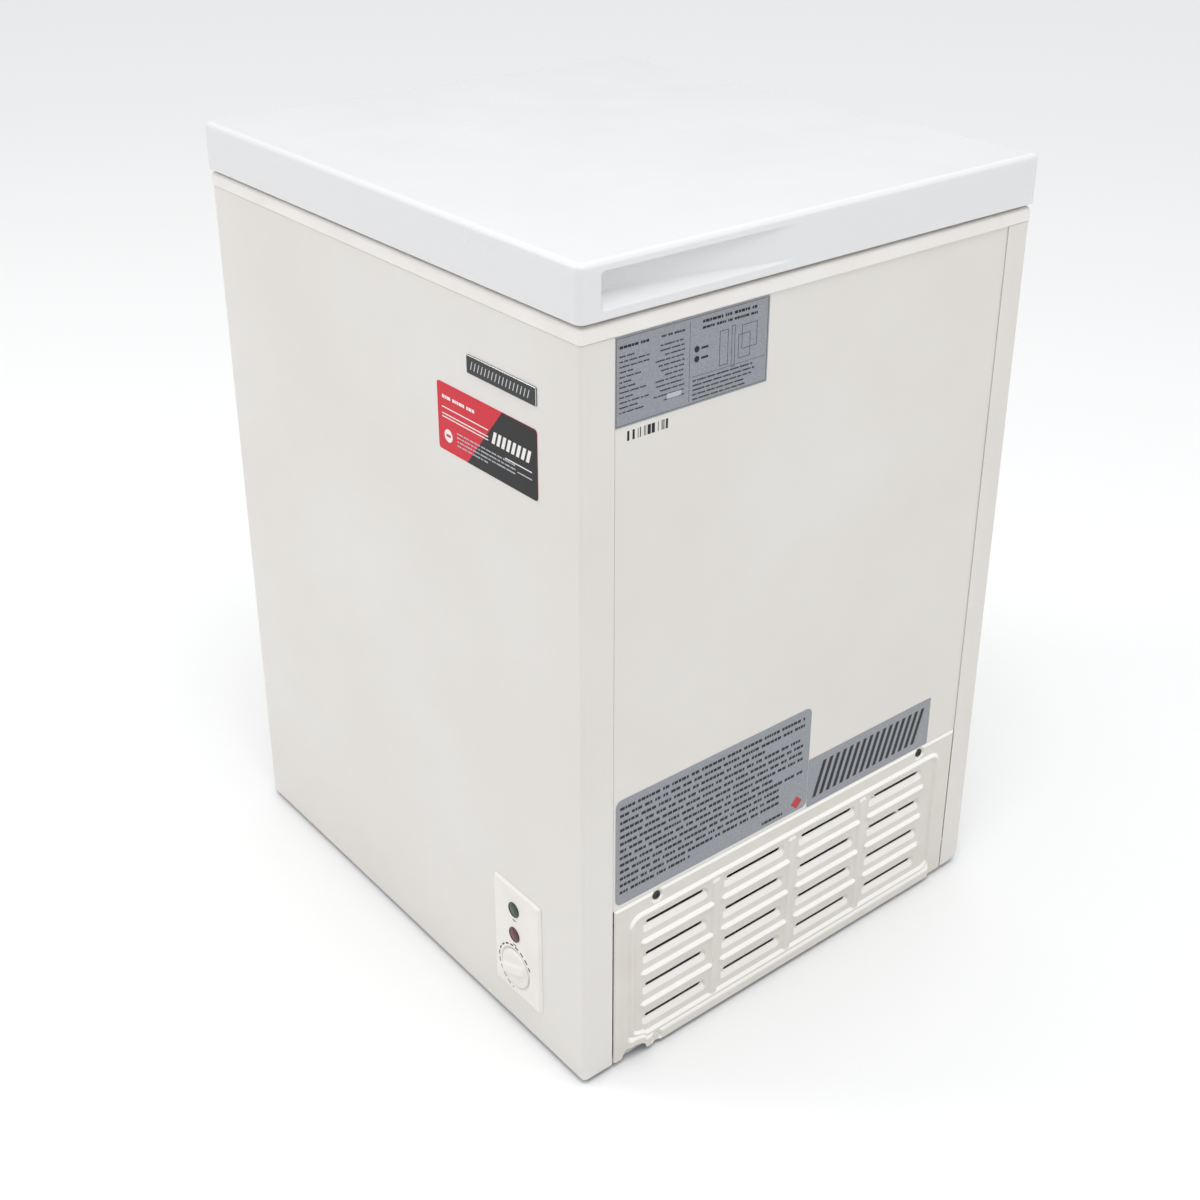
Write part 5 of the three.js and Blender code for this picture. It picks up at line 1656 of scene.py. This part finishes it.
# %% Side plate helper
def side_plate(node, name, inks, radius=1.5):
    """A metallised plate on the right side, its marks drawn from its lower front corner."""
    low, high = span(node)
    half_long, half_tall = (high.y - low.y) / 2, (high.z - low.z) / 2
    sheet = high.x - low.x
    shape = bmesh.new()
    add_film(shape, rounded_ring(half_long, half_tall, radius, 4), 0, sheet, 0)
    for outline, layer in inks:
        placed = [(x - half_long, y - half_tall) for x, y in outline]
        add_film(shape, placed, sheet, sheet + 0.04 + 0.02 * layer, layer)
    shape.transform(on_right(low.x, (low.y + high.y) / 2, (low.z + high.z) / 2))
    print(name, round(2 * half_long), "by", round(2 * half_tall), "marks:", len(inks))
    return finish_piece(
        name,
        shape,
        "label_foil",
        BODY_OF[node],
        (node,),
        more=(INK["plate_black_ink"], INK["plate_light_ink"], INK["plate_red_ink"]),
        smooth=30,
    )


# %% [markdown]
# The rating plate has two columns. The left one is a table: short blocks at the left of each row
# for what is stated and at the right for its value. The right one has a heading, two dots and a
# small drawing made of open frames.

# %% The rating plate
low, high = span("rating_label")
long, tall = high.y - low.y, high.z - low.z
dice = random.Random(11)
inks = [(bar, 1) for bar in frame_outlines(1.5, 1.5, long - 1.5, tall - 1.5, 0.35)]
split = long * 0.47
inks += [(bar, 1) for bar in small_print(dice, 5, 38, tall - 11, 3.8)]
inks += [(bar, 1) for bar in small_print(dice, 50, split - 5, tall - 11, 3)]
for row in range(12):
    y = tall - 18.5 - 4.5 * row
    inks += [(bar, 1) for bar in small_print(dice, 5, dice.uniform(20, 38), y, 2.1)]
    inks += [(bar, 1) for bar in small_print(dice, dice.uniform(42, 56), split - 5, y, 2.1)]
inks += [(bar_outline(split - 0.3, 4, split, tall - 4), 1)]
inks += [(bar_outline(split - 25, 13, split - 9, 17.5), 2)]
for row, size in ((0, 4.2), (1, 3.6)):
    y = tall - 8.5 - 5.4 * row
    inks += [(bar, 1) for bar in small_print(dice, split + 14, long - 12, y, size)]
for row in range(2):
    y = tall * 0.62 - 9 * row
    inks.append(([(px + split + 8, py + y) for px, py in rounded_ring(2.9, 2.9, 2.9, 6)], 1))
    inks.append((bar_outline(split + 13, y - 1, split + 21, y + 1), 1))
for x0, y0, x1, y1 in ((34, 28, 44, 60), (48, 24, 52, 62), (56, 30, 70, 52), (60, 38, 78, 60)):
    inks += [(bar, 1) for bar in frame_outlines(split + x0, y0, split + x1, y1, 0.45)]
for row in range(5):
    y = 21 - 4.2 * row
    right = long - dice.uniform(8, 30)
    inks += [(bar, 1) for bar in small_print(dice, split + 4, right, y, 2.4)]
inks += [(bar_outline(split + 3, 25.4, long - 4, 25.7), 1)]
side_plate("rating_label", "rating_plate", inks)

# %% [markdown]
# The notice is thirteen rows of blocks, the last four shorter, with a small diamond in its lower
# rear corner. The strip is a row of large slanted bars. Both are laid out from a corner too.

# %% The notice and the strip
low, high = span("warning_label")
long, tall = high.y - low.y, high.z - low.z
dice = random.Random(23)
inks = []
for row in range(13):
    y = tall - 11.5 - 8.1 * row
    right = long - (6 if row < 9 else 40 if row < 12 else 160)
    if row in (2, 7):
        right -= dice.uniform(10, 60)
    inks += [(bar, 1) for bar in small_print(dice, 5, right, y, 5.4)]
diamond_x, diamond_y = long - 15, 10.5
for size, layer in ((8, 3), (6.2, 0), (2.2, 1)):
    corners = ((size, 0), (0, size), (-size, 0), (0, -size))
    inks.append(([(diamond_x + x, diamond_y + y) for x, y in corners], layer))
inks += [(bar, 1) for bar in small_print(dice, long - 64, long - 32, 4.5, 5)]
side_plate("warning_label", "notice_plate", inks, 7)

low, high = span("lower_label")
long, tall = high.y - low.y, high.z - low.z
inks = []
bars = 16
for index in range(bars):
    x0 = 6 + (long - 26) / bars * (index + 0.15)
    inks.append((slanted(x0, 9, x0 + 5.2, tall - 9), 1))
side_plate("lower_label", "strip_plate", inks)

# %% [markdown]
# Below the rating plate the factory printed a short row of upright strokes straight on the
# paint.

# %% Strokes printed on the side
low, high = span("rating_label")
shape = bmesh.new()
dice = random.Random(5)
x = low.y + 14
while x < low.y + 58:
    width = dice.choice((0.7, 1.1, 2.4, 3.6))
    add_film(shape, bar_outline(x, low.z - 14, x + width, low.z - 5), 0.02, 0.06, 0)
    x += width + dice.choice((0.9, 1.6, 3.4))
side_face = span("right_side_panel")[1].x
shape.transform(on_right(side_face, 0, 0))
finish_piece("side_strokes", shape, "", "cabinet", finish=INK["gloss_black_ink"])
print("side face at x", round(side_face, 2))

# %% [markdown]
# ## Inside the cabinet
#
# The tub has a step over the machine bay. Folded and drawn aluminium can't hold a sharp corner,
# so the inside is a solid with every edge but the rim's rounded to 19.5 mm, opened at the top and
# given its sheet outwards. The drain hole is punched through the floor under the bung.

# %% The tub
low, high = span("inner_liner")
plug_low, plug_high = span("drain_plug")
tub_mid_y = (low.y + high.y) / 2
tub_x, tub_y = 253, 220.5
floor_z, step_x, step_z = 71, 75, 256
outline = [(-tub_x, floor_z), (step_x, floor_z), (step_x, step_z), (tub_x, step_z)]
outline += [(tub_x, high.z - 0.2), (-tub_x, high.z - 0.2)]
shape = bmesh.new()
ends = []
for side in (-1, 1):
    ends.append([shape.verts.new((x, tub_mid_y + side * tub_y, z)) for x, z in outline])
shape.faces.new(ends[0])
shape.faces.new(ends[1])
for i in range(len(outline)):
    j = (i + 1) % len(outline)
    shape.faces.new((ends[0][i], ends[0][j], ends[1][j], ends[1][i]))
bmesh.ops.recalc_face_normals(shape, faces=shape.faces)
top = high.z - 0.3
rounded = [e for e in shape.edges if min(v.co.z for v in e.verts) < top]
bmesh.ops.bevel(
    shape, geom=rounded, offset=19.5, segments=6, profile=0.5, affect="EDGES", clamp_overlap=True
)
lids = [f for f in shape.faces if all(v.co.z > top for v in f.verts)]
bmesh.ops.delete(shape, geom=lids, context="FACES")
hole = turned([(0, floor_z - 6), (10, floor_z - 6), (10, floor_z + 4), (0, floor_z + 4)], 32)
hole.transform(
    Matrix.Translation(((plug_low.x + plug_high.x) / 2, (plug_low.y + plug_high.y) / 2, 0))
)
finish_piece(
    "stucco_tub",
    shape,
    "liner_enamel",
    BODY_OF["inner_liner"],
    ("inner_liner",),
    thickness=0.8,
    offset=1,
    cuts=(cutter_from(hole),),
    smooth=40,
)
print("tub floor at", floor_z, "step at", step_z)

# %% [markdown]
# The foam sets against the tub, so where the tub's step is rounded the foam is rounded too. The
# packed foam has a sharp corner there, which would show through, so a copy has it cut back to a
# slightly wider curve than the sheet's.

# %% Foam rounded under the step
shape = bmesh.new()
shape.from_mesh(frame["nodes"]["cabinet_foam"].data)
bmesh.ops.scale(shape, vec=(1 / MM,) * 3, verts=shape.verts)
bmesh.ops.remove_doubles(shape, verts=shape.verts, dist=0.01)
nearest = min(
    (v.co for v in shape.verts), key=lambda co: math.hypot(co.x - step_x, co.z - step_z)
)
foam_x, foam_z, bend = nearest.x, nearest.z, 21
outline = [(foam_x - 5, foam_z + 5), (foam_x - 5, foam_z - bend)]
for step in range(13):
    angle = math.radians(180 - 90 * step / 12)
    outline.append(
        (foam_x + bend + bend * math.cos(angle), foam_z - bend + bend * math.sin(angle))
    )
outline.append((foam_x + bend, foam_z + 5))
wedge = bmesh.new()
near = [wedge.verts.new((x, tub_mid_y - tub_y - 0.5, z)) for x, z in outline]
far = [wedge.verts.new((x, tub_mid_y + tub_y + 0.5, z)) for x, z in outline]
wedge.faces.new(near)
wedge.faces.new(far)
for i in range(len(outline)):
    j = (i + 1) % len(outline)
    wedge.faces.new((near[i], near[j], far[j], far[i]))
finish_piece(
    "foam_fill",
    shape,
    "foam",
    BODY_OF["cabinet_foam"],
    ("cabinet_foam",),
    cuts=(cutter_from(wedge),),
    smooth=30,
)
print("foam corner was at", round(foam_x, 1), round(foam_z, 1))

# %% [markdown]
# The lid's inner panel is vacuum formed: a flat flange for the seal, a step down that plugs the
# opening, and a shallow raised field that stiffens it. Every change of level is a soft ring.

# %% The lid's inner panel
low, high = span("lid_inner")
inner_mid_y = (low.y + high.y) / 2
flange_x, flange_y = (high.x - low.x) / 2, (high.y - low.y) / 2
stations = [
    (flange_x, flange_y, 6, high.z),
    (flange_x, flange_y, 6, low.z + 5.6),
    (flange_x - 0.6, flange_y - 0.6, 6, low.z + 5),
    (241.6, 209.1, 30, low.z + 5),
    (240.2, 207.7, 29, low.z + 4.4),
    (239.4, 206.9, 28.5, low.z + 2.5),
    (238.6, 206.1, 28, low.z + 0.6),
    (237, 204.5, 27, low.z),
    (214, 181.5, 24, low.z),
    (212, 179.5, 23, low.z + 0.6),
    (209.5, 177, 22, low.z + 2.4),
    (207.5, 175, 21, low.z + 3),
]
rings = []
for half_x, half_y, radius, z in stations:
    rings.append([(x, y + inner_mid_y, z) for x, y in rounded_ring(half_x, half_y, radius, 10)])
finish_piece(
    "formed_inner_panel",
    skin_rings(rings, cap_last=True),
    "white_abs",
    BODY_OF["lid_inner"],
    ("lid_inner",),
    smooth=50,
)
print("inner panel stations:", len(stations))

# %% [markdown]
# ## The wire basket
#
# A storage basket is welded from drawn wire: a heavy loop at the top, thinner U-shaped wires
# down, under and up again, and level wires round them. Each wire is a small round section
# carried along its path, and all of them are dipped in one coat, so they make one piece. A
# curve with a bevel would do it too, but a mesh keeps the bends and the face count in hand.


# %% Wires
def eased(points, radius, steps=5):
    """A path with its corners turned into bends."""
    path = [Vector(points[0])]
    for before, corner_point, after in zip(points, points[1:], points[2:]):
        before, corner_point, after = Vector(before), Vector(corner_point), Vector(after)
        back = (before - corner_point).normalized()
        ahead = (after - corner_point).normalized()
        for step in range(steps + 1):
            share = step / steps
            start, end = corner_point + back * radius, corner_point + ahead * radius
            path.append(
                start * (1 - share) ** 2
                + corner_point * 2 * share * (1 - share)
                + end * share**2
            )
    path.append(Vector(points[-1]))
    return path


def lay_wire(shape, path, radius, closed=False, sides=8):
    """A round wire along a path, without twist."""
    path = [Vector(point) for point in path]
    count = len(path)
    up = Vector((0, 0, 1))
    rings = []
    for i, point in enumerate(path):
        ahead = path[(i + 1) % count] if closed or i < count - 1 else point
        behind = path[i - 1] if closed or i > 0 else point
        along = (ahead - behind).normalized()
        if abs(along.dot(up)) > 0.95:
            up = Vector((1, 0, 0)) if abs(along.x) < 0.9 else Vector((0, 1, 0))
        side = along.cross(up).normalized()
        up = side.cross(along).normalized()
        ring = []
        for step in range(sides):
            angle = 2 * math.pi * step / sides
            offset = side * math.cos(angle) + up * math.sin(angle)
            ring.append(shape.verts.new(point + offset * radius))
        rings.append(ring)
    pairs = list(zip(rings, rings[1:]))
    if closed:
        pairs.append((rings[-1], rings[0]))
    for lower, upper in pairs:
        for i in range(sides):
            j = (i + 1) % sides
            shape.faces.new((lower[i], lower[j], upper[j], upper[i]))
    if not closed:
        shape.faces.new(rings[0])
        shape.faces.new(rings[-1])


# %% [markdown]
# The basket tapers, so its level wires are rings at a share of its depth. Fifteen wires run
# across and seven along, and a bail at each end rests on the rim's ledge.

# %% The basket
low, high = span("wire_basket")
basket_x, basket_y = (low.x + high.x) / 2, (low.y + high.y) / 2
heavy, thin = 2.2, 1.3
top_x, top_y = 100 - heavy, 210.5 - heavy
foot_x, foot_y = 86 - heavy, 196.5 - heavy
top_z, foot_z = high.z - heavy, low.z + 2 * thin + 0.2
shape = bmesh.new()


def basket_ring(share, grow=0):
    """A level ring at a share of the basket's depth."""
    half_x = top_x + (foot_x - top_x) * share + grow
    half_y = top_y + (foot_y - top_y) * share + grow
    z = top_z + (foot_z - top_z) * share
    return [(x + basket_x, y + basket_y, z) for x, y in rounded_ring(half_x, half_y, 14, 6)]


lay_wire(shape, basket_ring(0), heavy, closed=True)
for share in (0.3, 0.62):
    lay_wire(shape, basket_ring(share, 1.2), thin, closed=True)
lay_wire(shape, basket_ring(0.97, 1.2), thin, closed=True)
for step in range(15):
    y = basket_y - foot_y + 14 + (2 * foot_y - 28) * step / 14
    wire = [
        (basket_x - top_x, y, top_z),
        (basket_x - foot_x, y, foot_z),
        (basket_x + foot_x, y, foot_z),
        (basket_x + top_x, y, top_z),
    ]
    lay_wire(shape, eased(wire, 8), thin)
for step in range(7):
    x = basket_x - foot_x + 14 + (2 * foot_x - 28) * step / 6
    wire = [
        (x, basket_y - top_y, top_z),
        (x, basket_y - foot_y, foot_z - 2 * thin),
        (x, basket_y + foot_y, foot_z - 2 * thin),
        (x, basket_y + top_y, top_z),
    ]
    lay_wire(shape, eased(wire, 8), thin)
for side in (-1, 1):
    reach = basket_y + side * (high.y - low.y - 2 * heavy) / 2
    inside = basket_y + side * top_y
    bail = [
        (basket_x - 50 + heavy, inside, top_z),
        (basket_x - 50 + heavy, reach, top_z),
        (basket_x + 50 - heavy, reach, top_z),
        (basket_x + 50 - heavy, inside, top_z),
    ]
    lay_wire(shape, eased(bail, 7), heavy)
wires = finish_piece(
    "welded_basket",
    shape,
    "coated_wire",
    BODY_OF["wire_basket"],
    ("wire_basket",),
    smooth=60,
)
print("basket faces:", len(wires.data.polygons))

# %% [markdown]
# ## The compressor
#
# Two drawn half shells are pushed together and welded, which leaves a raised seam round the
# middle. Seen from behind and below it is a rounded pot, so rings of a soft oval do it.

# %% The compressor's shell
low, high = span("compressor")
middle = (low + high) / 2
pot_x, pot_y, pot_z = (high.x - low.x) / 2, (high.y - low.y) / 2, high.z - low.z
profile = [(0.3, 0), (0.62, 0.01), (0.84, 0.05), (0.94, 0.12), (0.975, 0.22), (0.98, 0.40)]
profile += [(1.0, 0.405), (1.0, 0.43), (0.975, 0.435), (0.97, 0.66), (0.94, 0.8), (0.85, 0.9)]
profile += [(0.66, 0.965), (0.4, 0.993), (0.15, 1)]
rings = []
for share, rise in profile:
    ring = []
    for step in range(56):
        angle = 2 * math.pi * step / 56
        x, y = math.cos(angle), math.sin(angle)
        square = (abs(x) ** 2.6 + abs(y) ** 2.6) ** (-1 / 2.6)
        ring.append(
            (
                middle.x + pot_x * share * x * square,
                middle.y + pot_y * share * y * square,
                low.z + pot_z * rise,
            )
        )
    rings.append(ring)
finish_piece(
    "compressor_shell",
    skin_rings(rings, cap_first=True, cap_last=True),
    "black_enamel",
    BODY_OF["compressor"],
    ("compressor",),
    smooth=50,
)
print("compressor", [round(2 * v) for v in (pot_x, pot_y, pot_z / 2)])

# %% [markdown]
# ## Floor, light and camera
#
# The floor is matt white paper, wide enough that its far edge lies well behind the cabinet.

# %% Floor
finish, tree, shader, place = start_finish("matt_studio_floor", "#F4F4F4", 0.0, 0.9)
paper = add_node(
    tree, "ShaderNodeTexNoise", {}, {"Vector": place, "Scale": 1 / 0.004, "Detail": 2.0}
)
fibre = add_node(
    tree,
    "ShaderNodeBump",
    {},
    {"Height": paper.outputs["Fac"], "Strength": 0.1, "Distance": 0.0001},
)
tree.links.new(fibre.outputs["Normal"], shader.inputs["Normal"])
shape = bmesh.new()
bmesh.ops.create_grid(shape, x_segments=2, y_segments=2, size=40)
mesh = bpy.data.meshes.new("studio_floor")
shape.to_mesh(mesh)
shape.free()
mesh.materials.append(finish)
floor = bpy.data.objects.new("studio_floor", mesh)
bpy.context.scene.collection.objects.link(floor)
print("floor laid")

# %% [markdown]
# The light is broad and soft, as in a plain product studio: a large panel overhead makes the top
# the brightest side, one at the front left fills the front, a weak one at the rear right lifts
# the right side, and the pale room fills the rest so that only the slots fall to black.

# %% Lights
world = bpy.data.worlds.new("pale_room")
world.use_nodes = True
sky = world.node_tree
aim = add_node(sky, "ShaderNodeTexCoord", {}, {})
height = add_node(sky, "ShaderNodeSeparateXYZ", {}, {"Vector": aim.outputs["Generated"]})
rise = add_node(sky, "ShaderNodeValToRGB", {}, {"Fac": height.outputs["Z"]})
for position, level in ((0.0, 0.72), (0.1, 0.46), (0.25, 0.4), (1.0, 1.0)):
    stop = rise.color_ramp.elements[0 if position == 0 else -1]
    if 0 < position < 1:
        stop = rise.color_ramp.elements.new(position)
    stop.color = (level, level, level, 1)
bright = add_node(
    sky, "ShaderNodeMath", {"operation": "MULTIPLY"}, {0: rise.outputs["Color"], 1: 1.24}
)
sky.links.new(bright.outputs["Value"], sky.nodes["Background"].inputs["Strength"])
sky.nodes["Background"].inputs["Color"].default_value = tint("#FBFCFD")
bpy.context.scene.world = world


def soft_panel(name, place, aim, size, watts, colour):
    """A square softbox that faces a point."""
    lamp = bpy.data.lights.new(name, "AREA")
    lamp.shape = "SQUARE"
    lamp.size = size
    lamp.energy = watts
    lamp.color = tint(colour)[:3]
    holder = bpy.data.objects.new(name, lamp)
    holder.location = place
    holder.rotation_mode = "QUATERNION"
    holder.rotation_quaternion = (Vector(aim) - Vector(place)).to_track_quat("-Z", "Y")
    bpy.context.scene.collection.objects.link(holder)
    return holder


soft_panel("overhead_panel", (1.0, -0.6, 3.2), (0, 0, 0.4), 1.6, 29, "#FDFEFF")
soft_panel("front_left_panel", (-2.0, -2.4, 2.7), (0, 0, 0.3), 1.0, 20, "#FFFDFA")
soft_panel("rear_right_panel", (2.7, 2.4, 2.3), (0.3, 0, 0.3), 1.2, 7, "#FFFDFA")
bpy.context.scene.view_settings.view_transform = "Standard"
print("lights:", len(bpy.data.lights))

# %% [markdown]
# The camera stands to the front right, a little above the lid, and looks down by 25 degrees. A
# small shift frames the feet without dipping it further, which keeps the uprights straighter.

# %% Camera
camera = bpy.data.cameras.new("studio_camera")
camera.lens = 49.16
camera.sensor_width = 36
camera.shift_y = -0.1
camera.clip_start = 0.05
camera.clip_end = 60
eye = bpy.data.objects.new("studio_camera", camera)
eye.location = (1.2722, -1.0388, 1.239)
heading, dip = math.radians(141.09), math.radians(-25.2)
look = Vector(
    (math.cos(heading) * math.cos(dip), math.sin(heading) * math.cos(dip), math.sin(dip))
)
eye.rotation_mode = "QUATERNION"
eye.rotation_quaternion = look.to_track_quat("-Z", "Y")
bpy.context.scene.collection.objects.link(eye)
bpy.context.scene.camera = eye
print("camera stands", round(Vector(eye.location).length, 2), "m away")
